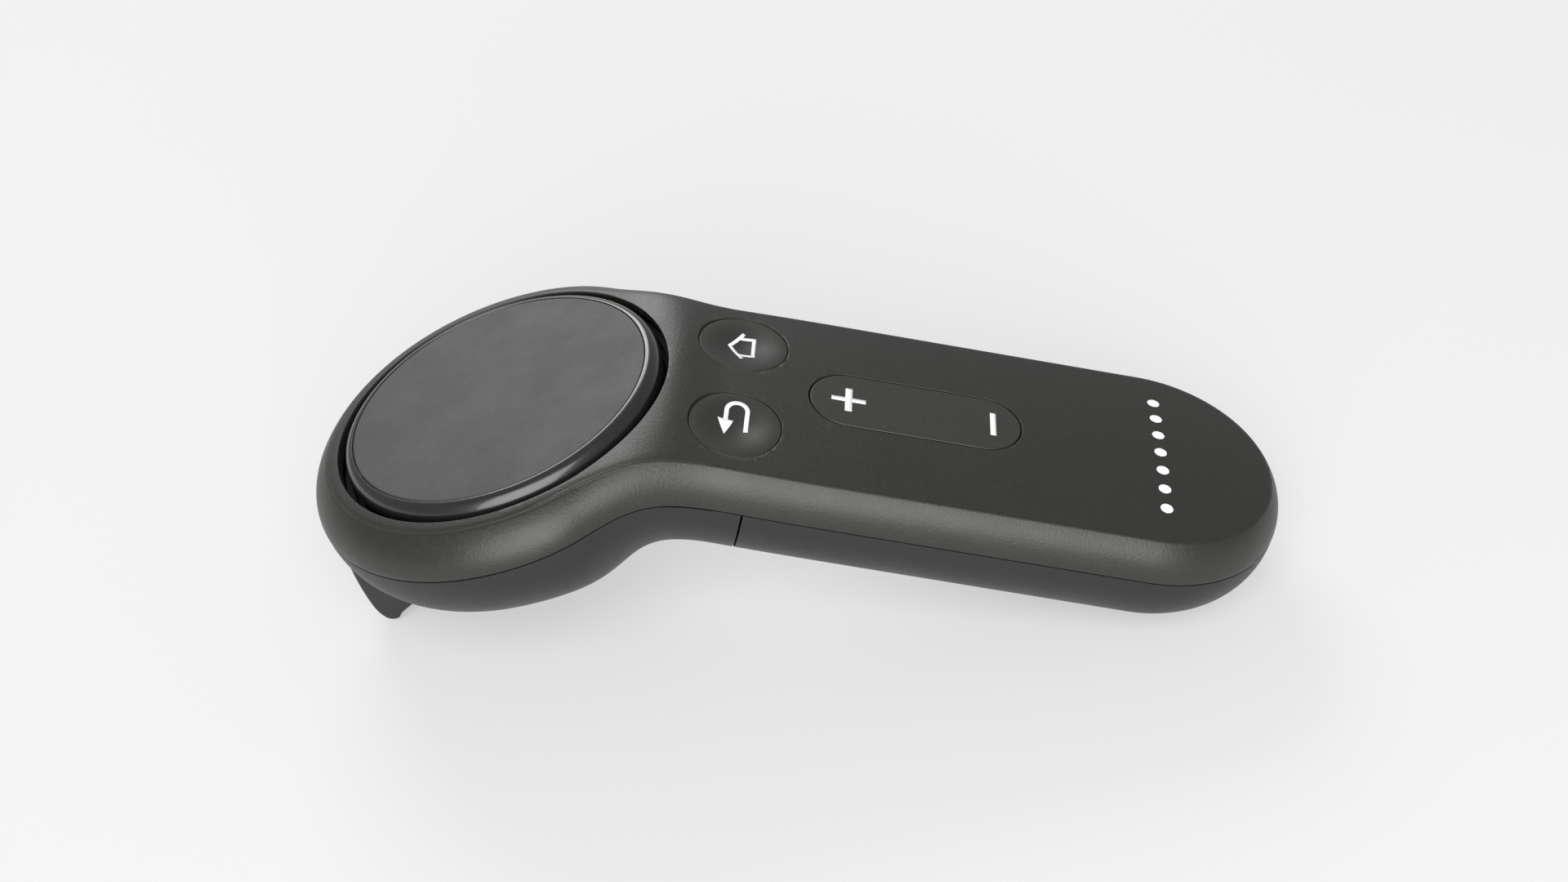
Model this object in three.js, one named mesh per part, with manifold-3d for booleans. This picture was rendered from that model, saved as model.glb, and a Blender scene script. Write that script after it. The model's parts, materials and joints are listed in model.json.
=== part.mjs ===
// A one-hand motion controller for a phone headset: a round head with a clicking touch pad, tilted down
// from a straight handle with two thumb buttons and a volume rocker, and a finger trigger under the head.
// Millimetres. The handle's own frame has +X along the handle to its round end, +Z out of its top face,
// and its zero on the middle of that face. The whole body is laid down on its trigger and handle end.
import * as THREE from "three";
import { mergeVertices } from "three/addons/utils/BufferGeometryUtils.js";
import Module from "manifold-3d";

const wasm = await Module();
wasm.setup();
const { Manifold, Mesh: ManifoldMesh } = wasm;

// Driving dimensions of the body.
const handleHalfWidth = 14.5; // at the sharp edge of the top face
const handleLength = 56.3; // from the frame's zero to the end of the top face
const handleCrown = 0.0072; // curvature across the top face
const handleFlare = 1.85; // how far the side swells out below the sharp edge
const handleSideDepth = 5.2; // sharp edge down to the parting line
const handleDepth = 16.8; // top face to the underside
const headRadius = 21.1; // sharp edge of the round head face
const headTilt = THREE.MathUtils.degToRad(27.5);
const headReach = 18.2; // from the fold between the two faces to the pad's centre
const foldX = -14.9; // where the two faces would meet
const foldRadius = 14;
const padBrow = 0.45; // the face stays this much higher beside the pad, on the handle's side
const padBrowLength = 7;
const headFlare = 2.95;
const headSideDepth = 4.7;
const headDepth = 18.8;
const headEdgeDrop = 0.28; // the rim of the head face falls away a little
const neckRadius = 37; // hollow of the outline between head and handle
const neckStart = -5; // the neck's blend runs from here
const neckLength = 23;
const wall = 1.2;
const gap = 0.3; // between pieces that meet
const touchGap = 0.05; // under a small part that sits on a board
const edgeSlope = THREE.MathUtils.degToRad(40); // where the side's curve starts
const seamX = -3; // joint between the lower shell and the battery cover
const flatDepth = 0.4; // the underside's flat strip is cut this far up
const tongueHalfWidth = 10.2; // the battery cover's end tongue
const tongueRise = 0.6;
const lipThickness = 0.8;
const lipHeight = 1.4;

// Touch pad, in the head's own frame: +Z out of the head face, zero on that face at the pad's centre.
const padRadius = 17.7; // edge of the flat touch surface
const padBulge = 1.15; // the rim swells out this far past that edge
const padRingGap = 0.95; // open ring between the rim and the shell
const padRise = 0.88;
const padTravel = 0.4;
const padRimDepth = 2.9;
const touchBoardThickness = 0.8;
const frameFloorZ = -5.1;
const frameThickness = 0.8;
const headBoardRadius = 15;
const headBoardThickness = 0.8;
const padSwitchSize = 4.5;

// Thumb buttons and volume rocker.
const buttonX = -5;
const buttonY = 7.25;
const buttonHoleRadius = 5.2;
const buttonClearance = 0.2;
const buttonDish = 0.42;
const buttonTravel = 0.3;
const rockerCentreX = 15;
const rockerHoleHalfLength = 12.2;
const rockerHoleHalfWidth = 4.6;
const rockerSwitchReach = 8.3;
const rockerAxleRadius = 0.45;
const rockerFlange = 0.5;
const rockerPlay = 0.2; // between its feet and their domes

// Boards, batteries and their tray, in the handle's frame.
const boardTop = -2.75;
const boardThickness = 0.55;
const boardHalfWidth = 11.3;
const boardStart = -9.8;
const boardEnd = 46;
const domeHeight = 0.35;
const trayFloor = 0.55;
const batteryRadius = 5.15;
const batteryLength = 44.5;
const batteryStart = 1.9;
const batteryNub = 1;
const batteryApart = 0.5; // between the two cells
const traySideRoom = 0.65; // between a cell and the tray's side wall

// Trigger, in the handle's frame, and its pin.
const triggerHalfWidth = 7.8;
const triggerEdgeRadius = 0.5; // how far its outline draws in at the rounded sides
const triggerEdgeWidth = 1.2;
const triggerPivot = new THREE.Vector2(-42.6, -23.9);
const triggerPinRadius = 0.75;
const triggerHubRadius = 2;
const runningFit = 0.08;
const lugThickness = 1.6;
const triggerArmX = -36.3;
const triggerArmY = 4.2;
const triggerArmTop = -22.65;
const triggerSlotStart = -47;
const triggerSlotEnd = -32;
const triggerSlotTop = -24.6;
const triggerSwitchX = -10; // in the head's frame
const triggerSwitchBody = 2.2;
const triggerSwitchPlunger = 0.55; // stands out of its body, clear of the fully pulled arm
const springWire = 0.25;
const springCoilRadius = 1.45;
const springHalfWidth = 1.7;
const springTurns = 4;

// Screws.
const screwShankRadius = 0.9;
const screwHeadRadius = 1.6;
const screwHeadHeight = 1.1;
const screwSocketRadius = 0.7;
const screwSocketDepth = 0.6;
const screwHoleFit = 0.15;
const bossRadius = 1.7;
const bossTop = -0.9; // inside the top wall
const neckScrewX = -7.9;
const neckScrewSeatZ = -9;
const neckScrewLength = 6;
const trayScrewFrontX = 0.5;
const trayScrewRearX = 53.5;

// Values that follow from them.
const padHoleRadius = padRadius + padBulge + padRingGap;
const foldTangent = foldRadius * Math.tan(headTilt / 2);
const foldStart = foldX + foldTangent;
const foldEnd = foldStart - foldRadius * headTilt;
const headS = foldEnd - (headReach - foldTangent);
const endS = handleLength - handleHalfWidth;
const headCentre = new THREE.Vector3(
  foldX - headReach * Math.cos(headTilt), 0, -headReach * Math.sin(headTilt),
);
const boardBottom = boardTop - boardThickness;
const trayTop = boardBottom - 0.1;
const trayBottom = trayTop - trayFloor;
const batteryZ = trayBottom - 0.15 - batteryRadius;
const batteryY = batteryRadius + batteryApart / 2;
const touchBoardTop = padRise - 1.5;
const screwHole = screwShankRadius + screwHoleFit;
const sideTurn = Math.PI / 2;
const far = 100; // past the whole body

const colours = {
  shell: 0x45464a, lower: 0x4b4d52, pad: 0x5f6063, gloss: 0x17181a, black: 0x0d0d0e,
  rocker: 0x4b4c4e, board: 0x1d4a33, metal: 0xb9bcc0, cell: 0x8f1d22, brass: 0xb08d4a, spring: 0x9a9da3,
};

function material(colour, roughness, metalness) {
  return new THREE.MeshStandardMaterial({ color: colour, roughness, metalness });
}

// --- Solids: a three.js geometry becomes a manifold-3d solid, is cut or joined, and comes back. ---

function solid(geometry) {
  const bare = (geometry.index ? geometry.toNonIndexed() : geometry).clone();
  bare.deleteAttribute("normal");
  bare.deleteAttribute("uv");
  const welded = mergeVertices(bare, 1e-4);
  const corners = welded.index.array;
  const kept = [];
  for (let i = 0; i < corners.length; i += 3) {
    const [a, b, c] = [corners[i], corners[i + 1], corners[i + 2]];
    if (a !== b && b !== c && c !== a) {
      kept.push(a, b, c);
    }
  }
  return new Manifold(new ManifoldMesh({
    numProp: 3, vertProperties: welded.attributes.position.array, triVerts: new Uint32Array(kept),
  }));
}

function geometryOf(piece) {
  const mesh = piece.getMesh();
  const geometry = new THREE.BufferGeometry();
  geometry.setAttribute("position", new THREE.BufferAttribute(mesh.vertProperties, 3));
  geometry.setIndex(new THREE.BufferAttribute(mesh.triVerts, 1));
  geometry.computeVertexNormals();
  return geometry;
}

function join(...pieces) {
  return pieces.reduce((whole, piece) => whole.add(piece));
}

function cut(whole, ...tools) {
  return tools.reduce((rest, tool) => rest.subtract(tool), whole);
}

// A box between two corners.
function block(low, high) {
  const size = high.map((value, i) => value - low[i]);
  const centre = high.map((value, i) => (value + low[i]) / 2);
  return solid(new THREE.BoxGeometry(...size).translate(...centre));
}

// Two distances from the middle line, on one side of it, the lower value first.
function between(side, near, back) {
  return [side * near, side * back].sort((a, b) => a - b);
}

// A round bar along Z between two heights.
function bar(radius, x, y, low, high, sides = 24) {
  const geometry = new THREE.CylinderGeometry(radius, radius, high - low, sides);
  return solid(geometry.rotateX(sideTurn).translate(x, y, (low + high) / 2));
}

// A round bar along Y, centred on y = 0 or on the value given.
function crossBar(radius, x, z, length, y = 0, sides = 24) {
  return solid(new THREE.CylinderGeometry(radius, radius, length, sides).translate(x, y, z));
}

// A turned piece about Z from [radius, height] points that start and end on the axis or close on themselves.
function turned(points, sides = 48) {
  const profile = points.map(([radius, height]) => new THREE.Vector2(radius, height));
  return new THREE.LatheGeometry(profile, sides).rotateX(sideTurn);
}

// A stadium-shaped plate between two heights.
function stadium(halfLength, halfWidth, low, high) {
  const reach = halfLength - halfWidth;
  const shape = new THREE.Shape();
  shape.absarc(reach, 0, halfWidth, -Math.PI / 2, Math.PI / 2);
  shape.absarc(-reach, 0, halfWidth, Math.PI / 2, Math.PI * 1.5);
  const settings = { depth: high - low, bevelEnabled: false, curveSegments: 9 };
  return new THREE.ExtrudeGeometry(shape, settings).translate(rockerCentreX, 0, low);
}

// --- The body's outline and the rings that its skins are built from. ---

// How far the crowned face has fallen at a distance from the middle line.
function crownDrop(y) {
  return handleCrown * y * y / 2;
}

function smooth(t) {
  const held = THREE.MathUtils.clamp(t, 0, 1);
  return held * held * (3 - 2 * held);
}

// 0 on the handle, 1 on the head.
function headShare(s) {
  return smooth((neckStart - s) / neckLength);
}

function blend(onHandle, onHead, s) {
  return THREE.MathUtils.lerp(onHandle, onHead, headShare(s));
}

// The line along the middle of the top face, by distance s from the frame's zero: straight, folded, straight.
function spine(s) {
  if (s >= foldStart) {
    return { x: s, z: 0 };
  }
  const turn = Math.min((foldStart - s) / foldRadius, headTilt);
  const past = Math.max(foldEnd - s, 0);
  return {
    x: foldStart - foldRadius * Math.sin(turn) - past * Math.cos(headTilt),
    z: -foldRadius * (1 - Math.cos(turn)) - past * Math.sin(headTilt),
  };
}

// A point at a depth below the top face. Down leans over gradually from the handle to the head.
function place(s, y, depth) {
  const { x, z } = spine(s);
  const lean = headTilt * headShare(s);
  return new THREE.Vector3(x + depth * Math.sin(lean), y, z - depth * Math.cos(lean));
}

// The outline of the top face, laid flat: head arc, two hollow necks, two straight sides and the round end.
function outlineHalf() {
  const neckS = headS + Math.sqrt((headRadius + neckRadius) ** 2 - (handleHalfWidth + neckRadius) ** 2);
  const neckY = handleHalfWidth + neckRadius;
  const neckAngle = Math.atan2(neckY, neckS - headS);
  const points = [];
  const endSteps = 8;
  for (let i = 0; i <= endSteps; i++) {
    const a = (i / endSteps) * Math.PI / 2;
    points.push(edgePoint(endS, 0, handleHalfWidth, a, 1));
  }
  const straightSteps = 3;
  for (let i = 1; i < straightSteps; i++) {
    const s = THREE.MathUtils.lerp(endS, neckS, i / straightSteps);
    points.push({ s, y: handleHalfWidth, ns: 0, ny: 1 });
  }
  const neckSteps = 5;
  for (let i = 0; i <= neckSteps; i++) {
    const a = Math.PI * 1.5 - (i / neckSteps) * (Math.PI / 2 - neckAngle);
    points.push(edgePoint(neckS, neckY, neckRadius, a, -1));
  }
  const headSteps = 13;
  for (let i = 1; i <= headSteps; i++) {
    const a = THREE.MathUtils.lerp(neckAngle, Math.PI, i / headSteps);
    points.push(edgePoint(headS, 0, headRadius, a, 1));
  }
  return points;
}

function edgePoint(s, y, radius, angle, outward) {
  const [c, d] = [Math.cos(angle), Math.sin(angle)];
  return { s: s + radius * c, y: y + radius * d, ns: outward * c, ny: outward * d };
}

function outline() {
  const half = outlineHalf();
  const inner = half.slice(1, -1).reverse();
  const mirrored = inner.map((p) => ({ s: p.s, y: -p.y, ns: p.ns, ny: -p.ny }));
  return [...half, ...mirrored].map((p) => ({ ...p, coreS: THREE.MathUtils.clamp(p.s, headS, endS) }));
}

const edge = outline();

// A ring around the body: the outline moved out by a distance and down by a depth, both by place.
function ring(outward, depth) {
  return edge.map((p) => {
    const move = outward(p.s);
    return place(p.s + p.ns * move, p.y + p.ny * move, depth(p.s));
  });
}

// A ring drawn in towards the body's core line: share 1 is the outline moved out, share 0 is the core.
function drawnRing(outward, share, depth) {
  return edge.map((p) => {
    const move = outward(p.s);
    const s = THREE.MathUtils.lerp(p.coreS, p.s + p.ns * move, share(p.s));
    return place(s, (p.y + p.ny * move) * share(p.s), depth(p.s));
  });
}

// Triangles between neighbouring rings, and between the last and the first if the skin is a hoop.
function skin(rings, hoop = false) {
  const count = rings[0].length;
  const positions = rings.flat().flatMap((v) => [v.x, v.y, v.z]);
  const corners = [];
  const last = hoop ? rings.length : rings.length - 1;
  for (let r = 0; r < last; r++) {
    const next = (r + 1) % rings.length;
    for (let i = 0; i < count; i++) {
      const j = (i + 1) % count;
      const [a, b, c, d] = [r * count + i, r * count + j, next * count + j, next * count + i];
      corners.push(a, d, b, b, d, c);
    }
  }
  const geometry = new THREE.BufferGeometry();
  geometry.setAttribute("position", new THREE.Float32BufferAttribute(positions, 3));
  geometry.setIndex(corners);
  return solid(geometry);
}

const flare = (s) => blend(handleFlare, headFlare, s);
const sideDepth = (s) => blend(handleSideDepth, headSideDepth, s);
const fullDepth = (s) => blend(handleDepth, headDepth, s);
const edgeDrop = (s) => blend(crownDrop(handleHalfWidth), headEdgeDrop, s);
const none = () => 0;

// The raised brow between the pad and the handle, highest on the middle line.
function brow(s, share) {
  const rise = smooth((s - foldEnd) / (foldStart - foldEnd));
  const fall = 1 - smooth((s - headS - padHoleRadius) / padBrowLength);
  return padBrow * rise * fall * (1 - share * share);
}

// Rings of the top face: crowned across the handle, flat on the head out to the pad hole.
function faceRings(below) {
  const flatShare = padHoleRadius / headRadius;
  const depthAt = (share) => (s) => {
    const onHandle = crownDrop(handleHalfWidth * share);
    const onHead = headEdgeDrop * Math.max(share - flatShare, 0) / (1 - flatShare);
    return below + blend(onHandle, onHead, s) - brow(s, share);
  };
  return [0, 0.35, 0.65, flatShare].map((share) => drawnRing(none, () => share, depthAt(share)));
}

// The side's curve from the sharp edge to the parting line, pulled in by an inset.
function sideRing(turn, inset) {
  const out = (Math.sin(turn) - Math.sin(edgeSlope)) / (1 - Math.sin(edgeSlope));
  const down = (Math.cos(edgeSlope) - Math.cos(turn)) / Math.cos(edgeSlope);
  return ring(
    (s) => flare(s) * out - inset,
    (s) => THREE.MathUtils.lerp(edgeDrop(s), sideDepth(s), down),
  );
}

// The underside's section: a full round, slightly squared, from the parting line to the bottom.
const undersideSquareness = 2.2;

function undersideRing(turn, inset) {
  const power = 2 / undersideSquareness;
  const [across, down] = [Math.cos(turn) ** power, Math.sin(turn) ** power];
  const depth = (s) => sideDepth(s) + (fullDepth(s) - inset - sideDepth(s)) * down;
  return drawnRing((s) => flare(s) - inset, () => across, depth);
}

function turns(from, to, steps) {
  return Array.from({ length: steps + 1 }, (_, i) => THREE.MathUtils.lerp(from, to, i / steps));
}

function upperBlank() {
  const sides = turns(edgeSlope, sideTurn, 4).map((turn) => sideRing(turn, 0));
  const floor = drawnRing(none, none, sideDepth);
  return skin([...faceRings(0), ...sides, floor]);
}

function upperHollow() {
  const cornerTurn = edgeSlope + 0.35;
  const sides = [cornerTurn, (cornerTurn + sideTurn) / 2, sideTurn].map((turn) => sideRing(turn, wall));
  const corner = ring(() => -wall, (s) => edgeDrop(s) + wall);
  const foot = ring((s) => flare(s) - wall, (s) => sideDepth(s) + 1);
  const end = drawnRing(none, none, (s) => sideDepth(s) + 1);
  return skin([...faceRings(wall), corner, ...sides.slice(1), foot, end]);
}

function lowerBlank() {
  const start = (s) => sideDepth(s) + gap;
  const top = drawnRing(none, none, start);
  const rim = ring(flare, start);
  const rounds = turns(0.16, sideTurn, 7).map((turn) => undersideRing(turn, 0));
  return skin([top, rim, ...rounds]);
}

function lowerHollow() {
  const start = (s) => sideDepth(s) - 1;
  const top = drawnRing(none, none, start);
  const rim = ring((s) => flare(s) - wall, start);
  const rounds = turns(0, sideTurn, 6).map((turn) => undersideRing(turn, wall));
  return skin([top, rim, ...rounds]);
}

// A lip around the inside of the upper shell that hangs down inside the lower pieces.
function lip() {
  const root = (s) => flare(s) - wall + 0.2;
  const outer = (s) => flare(s) - wall - gap;
  const tip = (s) => outer(s) - 0.25;
  const inner = (s) => outer(s) - lipThickness;
  const at = (offset) => (s) => sideDepth(s) + offset;
  return skin([
    ring(inner, at(-lipHeight)), ring(root, at(-lipHeight)), ring(root, at(-0.05)),
    ring(outer, at(-0.05)), ring(outer, at(0.4)), ring(tip, at(lipHeight)), ring(inner, at(lipHeight)),
  ], true);
}

// The room that the lip needs, kept clear of what stands inside the lower shell.
function lipRoom() {
  const inner = (s) => flare(s) - wall - lipThickness - 2 * gap;
  const outer = (s) => flare(s) - wall;
  const top = (s) => sideDepth(s) - lipHeight;
  const foot = (s) => sideDepth(s) + lipHeight + gap;
  return skin([ring(inner, top), ring(outer, top), ring(outer, foot), ring(inner, foot)], true);
}

// --- Groups: the body lies on the table, and the head's pieces are placed in the head's own frame. ---

const controller = new THREE.Group();
const body = new THREE.Group();
const head = new THREE.Group();
head.position.copy(headCentre);
head.rotation.y = -headTilt;
head.updateMatrix();
body.add(head);
controller.add(body);

function toHandle(geometry) {
  return geometry.clone().applyMatrix4(head.matrix);
}

function add(name, piece, look, parent = body) {
  const geometry = piece.isBufferGeometry ? piece : geometryOf(piece);
  const mesh = new THREE.Mesh(geometry, look);
  mesh.name = name;
  parent.add(mesh);
  return mesh;
}

// --- Shells ---

const coverFloorZ = -handleDepth + flatDepth;

function screwBoss(x, low) {
  return bar(bossRadius, x, 0, low, bossTop);
}

function upperShell() {
  const padBore = new THREE.CylinderGeometry(padHoleRadius, padHoleRadius, 8, 64).rotateX(sideTurn);
  const buttonHoles = [1, -1].map((side) => bar(buttonHoleRadius, buttonX, side * buttonY, -4, 3, 32));
  const rockerHole = solid(stadium(rockerHoleHalfLength, rockerHoleHalfWidth, -4, 3));
  const neckBoss = screwBoss(neckScrewX, neckPostTop + gap);
  const trayBosses = [trayScrewFrontX, trayScrewRearX].map((x) => screwBoss(x, trayTop + gap));
  const lugs = [1, -1].map((side) => rockerLug(side));
  const shell = join(cut(upperBlank(), upperHollow()), lip(), neckBoss, ...trayBosses, ...lugs);
  const pilots = [
    bar(screwHole, neckScrewX, 0, -12, neckScrewSeatZ + neckScrewLength + 0.3),
    ...[trayScrewFrontX, trayScrewRearX].map((x) => bar(screwHole, x, 0, -12, -1.6)),
  ];
  const notch = endNotch(gap, tongueRise + gap);
  const axleBore = rockerAxleRadius + runningFit;
  const axleHole = crossBar(axleBore, rockerCentreX, rockerAxleZ, 2 * rockerAxleHalfLength + 0.4);
  return cut(shell, solid(toHandle(padBore)), ...buttonHoles, rockerHole, ...pilots, notch, axleHole);
}

// The space at the handle's end that the battery cover's tongue stands in.
function endNotch(side, rise) {
  const half = tongueHalfWidth + side;
  return block([endS, -half, -handleSideDepth - 3], [handleLength + 4, half, -handleSideDepth + rise - gap]);
}

function lowerBody() {
  return cut(lowerBlank(), lowerHollow());
}

const neckPostRadius = screwHeadRadius + 1.1;
const neckPostTop = neckScrewSeatZ + 1.6;

function lowerShell() {
  const keep = block([-far, -far, -far], [seamX, far, far]);
  const post = bar(neckPostRadius, neckScrewX, 0, -far, neckPostTop).intersect(lowerBlank());
  const shell = join(lowerBody().intersect(keep), post, ...triggerLugs());
  const bores = [
    bar(screwHeadRadius + 0.25, neckScrewX, 0, -far, neckScrewSeatZ),
    bar(screwHole, neckScrewX, 0, -far, 0),
  ];
  return cut(shell, ...bores, triggerSlot(), triggerPinHole());
}

function batteryCover() {
  const keep = block([seamX + gap, -far, -far], [far, far, far]);
  const tongueSpace = endNotch(0, tongueRise);
  const tongue = cut(upperBlank(), upperHollow()).intersect(tongueSpace);
  const rootLow = [endS + handleHalfWidth * 0.4, -tongueHalfWidth, -handleSideDepth - 2];
  const rootHigh = [far, tongueHalfWidth, -handleSideDepth + 0.2];
  const root = lowerShellWall().intersect(block(rootLow, rootHigh));
  const flat = block([-far, -far, -far], [far, far, coverFloorZ]);
  return cut(join(lowerBody(), root, tongue).intersect(keep), flat);
}

// The handle's outer wall carried straight through the parting line, to join the tongue to the cover.
function lowerShellWall() {
  const top = (s) => sideDepth(s) - 0.1;
  const foot = (s) => sideDepth(s) + 1;
  const inner = (s) => flare(s) - wall;
  return skin([ring(inner, top), ring(flare, top), ring(flare, foot), ring(inner, foot)], true);
}

// --- Touch pad, in the head's frame ---

function padRim() {
  const out = padRadius + padBulge;
  const seat = padRise - 1.3;
  return turned([
    [padRadius - 2, seat], [padRadius - 2, seat - 1], [out - 0.8, seat - 1], [out - 0.8, -padRimDepth],
    [out, -padRimDepth], [out, padRise - 1.5], [out - 0.05, padRise - 0.9],
    [padRadius + 0.85, padRise - 0.42], [padRadius + 0.5, padRise - 0.12], [padRadius + 0.1, padRise],
    [padRadius - 0.1, padRise - 0.05], [padRadius - 0.1, seat], [padRadius - 2, seat],
  ]);
}

function padSurface() {
  const radius = padRadius - gap;
  const bottom = padRise - 1.1;
  return turned([
    [0, bottom], [radius, bottom], [radius, padRise - 0.1], [radius - 0.1, padRise], [0, padRise],
  ]);
}

// A round plate about Z under a height.
function disc(radius, top, thickness) {
  const foot = top - thickness;
  return turned([[0, foot], [radius, foot], [radius, top], [0, top]], 32);
}

const carrierTop = touchBoardTop - touchBoardThickness - gap;
const nubFoot = frameFloorZ + 1.15;

function padCarrier() {
  const radius = padRadius + padBulge - 1.2;
  const under = carrierTop - 0.8;
  return turned([
    [0, nubFoot], [1.5, nubFoot], [1.5, under], [radius, under], [radius, carrierTop], [0, carrierTop],
  ], 32);
}

function padFrame() {
  const out = padHoleRadius + 0.2;
  const bore = padSwitchSize * Math.SQRT1_2 + 0.6;
  const innerWall = padRadius + padBulge + 0.5;
  const top = -wall - 1.4;
  const floorTop = frameFloorZ + frameThickness;
  return turned([
    [bore, frameFloorZ], [out, frameFloorZ], [out, top], [innerWall, top], [innerWall, floorTop],
    [bore, floorTop], [bore, frameFloorZ],
  ]);
}

function padSpring() {
  const low = frameFloorZ + frameThickness + 0.15;
  const [inner, outer] = [11, 13.2];
  return turned([[inner, low], [outer, low], [outer, low + 0.2], [inner, low + 0.45], [inner, low]], 32);
}

const headBoardTop = frameFloorZ - gap;

function padSwitch() {
  const half = padSwitchSize / 2;
  const low = headBoardTop + touchGap;
  const capTop = nubFoot - padTravel - touchGap;
  const base = block([-half, -half, low], [half, half, capTop - 0.35]);
  return join(base, bar(1.2, 0, 0, capTop - 0.5, capTop, 16));
}

// --- Thumb buttons, in the handle's frame ---

// A dished button, drawn about its own middle at the height of the face there.
function thumbButton(side) {
  const drop = crownDrop(buttonY);
  const radius = buttonHoleRadius - buttonClearance;
  const flangeRadius = radius + 0.5;
  const rim = -0.1;
  const flangeTop = drop - crownDrop(buttonY + flangeRadius) - wall - 0.12;
  const flangeFoot = flangeTop - 0.3;
  const centreFoot = drop + boardTop + domeHeight + buttonTravel + touchGap;
  const dish = turns(0, 1, 4).map((t) => [radius * 0.94 * (1 - t), rim - buttonDish * (1 - (1 - t) ** 2)]);
  const footRadius = 2.4;
  const profile = [
    [0, centreFoot], [footRadius, centreFoot], [footRadius, flangeFoot], [flangeRadius, flangeFoot],
    [flangeRadius, flangeTop], [radius, flangeTop], [radius, rim - 0.12], [radius * 0.98, rim], ...dish,
  ];
  return turned(profile, 30).translate(buttonX, side * buttonY, -drop);
}

function dome(x, y, radius) {
  const low = boardTop + touchGap;
  const top = boardTop + domeHeight;
  const profile = [[0, low], [radius, low], [radius, low + 0.1], [radius * 0.7, top], [0, top]];
  return turned(profile, 20).translate(x, y, 0);
}

// --- Volume rocker and its axle, in the handle's frame ---

const rockerAxleZ = -wall - 0.1 - rockerAxleRadius;
const rockerAxleHalfLength = rockerHoleHalfWidth + 1.9;

function rockerLug(side) {
  const [near, back] = between(side, rockerHoleHalfWidth + 0.6, rockerHoleHalfWidth + 2);
  const halfLength = 1.1;
  const foot = rockerAxleZ - rockerAxleRadius;
  return block([rockerCentreX - halfLength, near, foot], [rockerCentreX + halfLength, back, -wall + 0.2]);
}

// The rocker's top follows the crown of the handle's face.
function volumeRocker() {
  const halfLength = rockerHoleHalfLength - buttonClearance;
  const halfWidth = rockerHoleHalfWidth - buttonClearance;
  const plate = solid(stadium(halfLength, halfWidth, -wall, 1)).intersect(crownedBlock());
  const foot = -wall - 0.6;
  const flangeWidth = halfWidth + rockerFlange - 0.1;
  const flange = solid(stadium(halfLength + rockerFlange, flangeWidth, foot, foot + 0.25));
  const neckPiece = solid(stadium(halfLength, halfWidth, foot, -wall + 0.1));
  const axleRoom = block([rockerCentreX - 2, -far, -far], [rockerCentreX + 2, far, -wall]);
  const postFoot = boardTop + domeHeight + rockerPlay;
  const posts = [-1, 1].map((end) => {
    return bar(1.2, rockerCentreX + end * rockerSwitchReach, 0, postFoot, -wall, 16);
  });
  return join(plate, cut(join(flange, neckPiece), axleRoom), ...posts);
}

// A block under the crowned face, as wide as the rocker.
function crownedBlock() {
  const half = rockerHoleHalfWidth;
  const shape = new THREE.Shape();
  shape.moveTo(-half, -4);
  shape.lineTo(half, -4);
  for (const share of turns(1, -1, 8)) {
    shape.lineTo(half * share, -crownDrop(half * share) - 0.02);
  }
  const geometry = new THREE.ExtrudeGeometry(shape, { depth: 2 * rockerHoleHalfLength, bevelEnabled: false });
  geometry.rotateX(sideTurn).rotateZ(sideTurn).translate(rockerCentreX - rockerHoleHalfLength, 0, 0);
  return solid(geometry);
}

// --- Boards and chips ---

function mainBoard() {
  const plate = block([boardStart, -boardHalfWidth, boardBottom], [boardEnd, boardHalfWidth, boardTop]);
  const bossHoles = [neckScrewX, trayScrewFrontX].map((x) => bar(bossRadius + gap, x, 0, -6, 0));
  return cut(plate, ...bossHoles);
}

const chips = {
  radio_chip: { x: 34.2, y: 0, length: 6.4, width: 6.4, height: 0.75, roughness: 0.4 },
  motion_chip: { x: 41.6, y: 0, length: 3.2, width: 3.2, height: 0.75, roughness: 0.45 },
  power_chip: { x: 33.25, y: 6.7, length: 3.5, width: 3, height: 0.55, roughness: 0.5 },
};

// --- Battery tray, cells and contacts ---

const trayStart = -2.3;
const trayEnd = 51.8;
const trayWall = 0.8;
const trayHalfWidth = batteryY + batteryRadius + traySideRoom + trayWall;
const trayWallFoot = -10.8;
const cellEnd = batteryStart + batteryLength;
const earBottom = trayBottom - 0.6; // the thicker ear under the rear screw

function batteryTray() {
  const floor = block([trayStart, -trayHalfWidth, trayBottom], [trayEnd, trayHalfWidth, trayTop]);
  const inside = trayHalfWidth - trayWall;
  const frontLow = [trayStart, -trayHalfWidth, trayWallFoot];
  const front = block(frontLow, [trayStart + trayWall, trayHalfWidth, trayTop]);
  const rear = block([trayEnd - trayWall, -9, trayWallFoot + 1.5], [trayEnd, 9, trayTop]);
  const sides = [1, -1].map((side) => {
    const [near, back] = between(side, inside, trayHalfWidth);
    return block([trayStart, near, trayWallFoot + 1], [cellEnd - 4, back, trayTop]);
  });
  const stops = [
    block([cellEnd + 0.6, batteryY - 2.4, batteryZ - 2], [trayEnd - 0.2, batteryY + 2.4, trayTop]),
    block([trayStart + 0.2, -batteryY - 2.4, batteryZ - 2], [batteryStart - 0.6, -batteryY + 2.4, trayTop]),
  ];
  const ear = block([trayEnd - 0.2, -3.2, earBottom], [trayScrewRearX + 2.2, 3.2, trayTop]);
  const ends = trimmedEnds();
  const tray = join(floor, front, rear, ...sides, ...stops, ear).intersect(ends);
  return cut(tray, ...[trayScrewFrontX, trayScrewRearX].map((x) => bar(screwHole, x, 0, -far, 0)));
}

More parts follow.
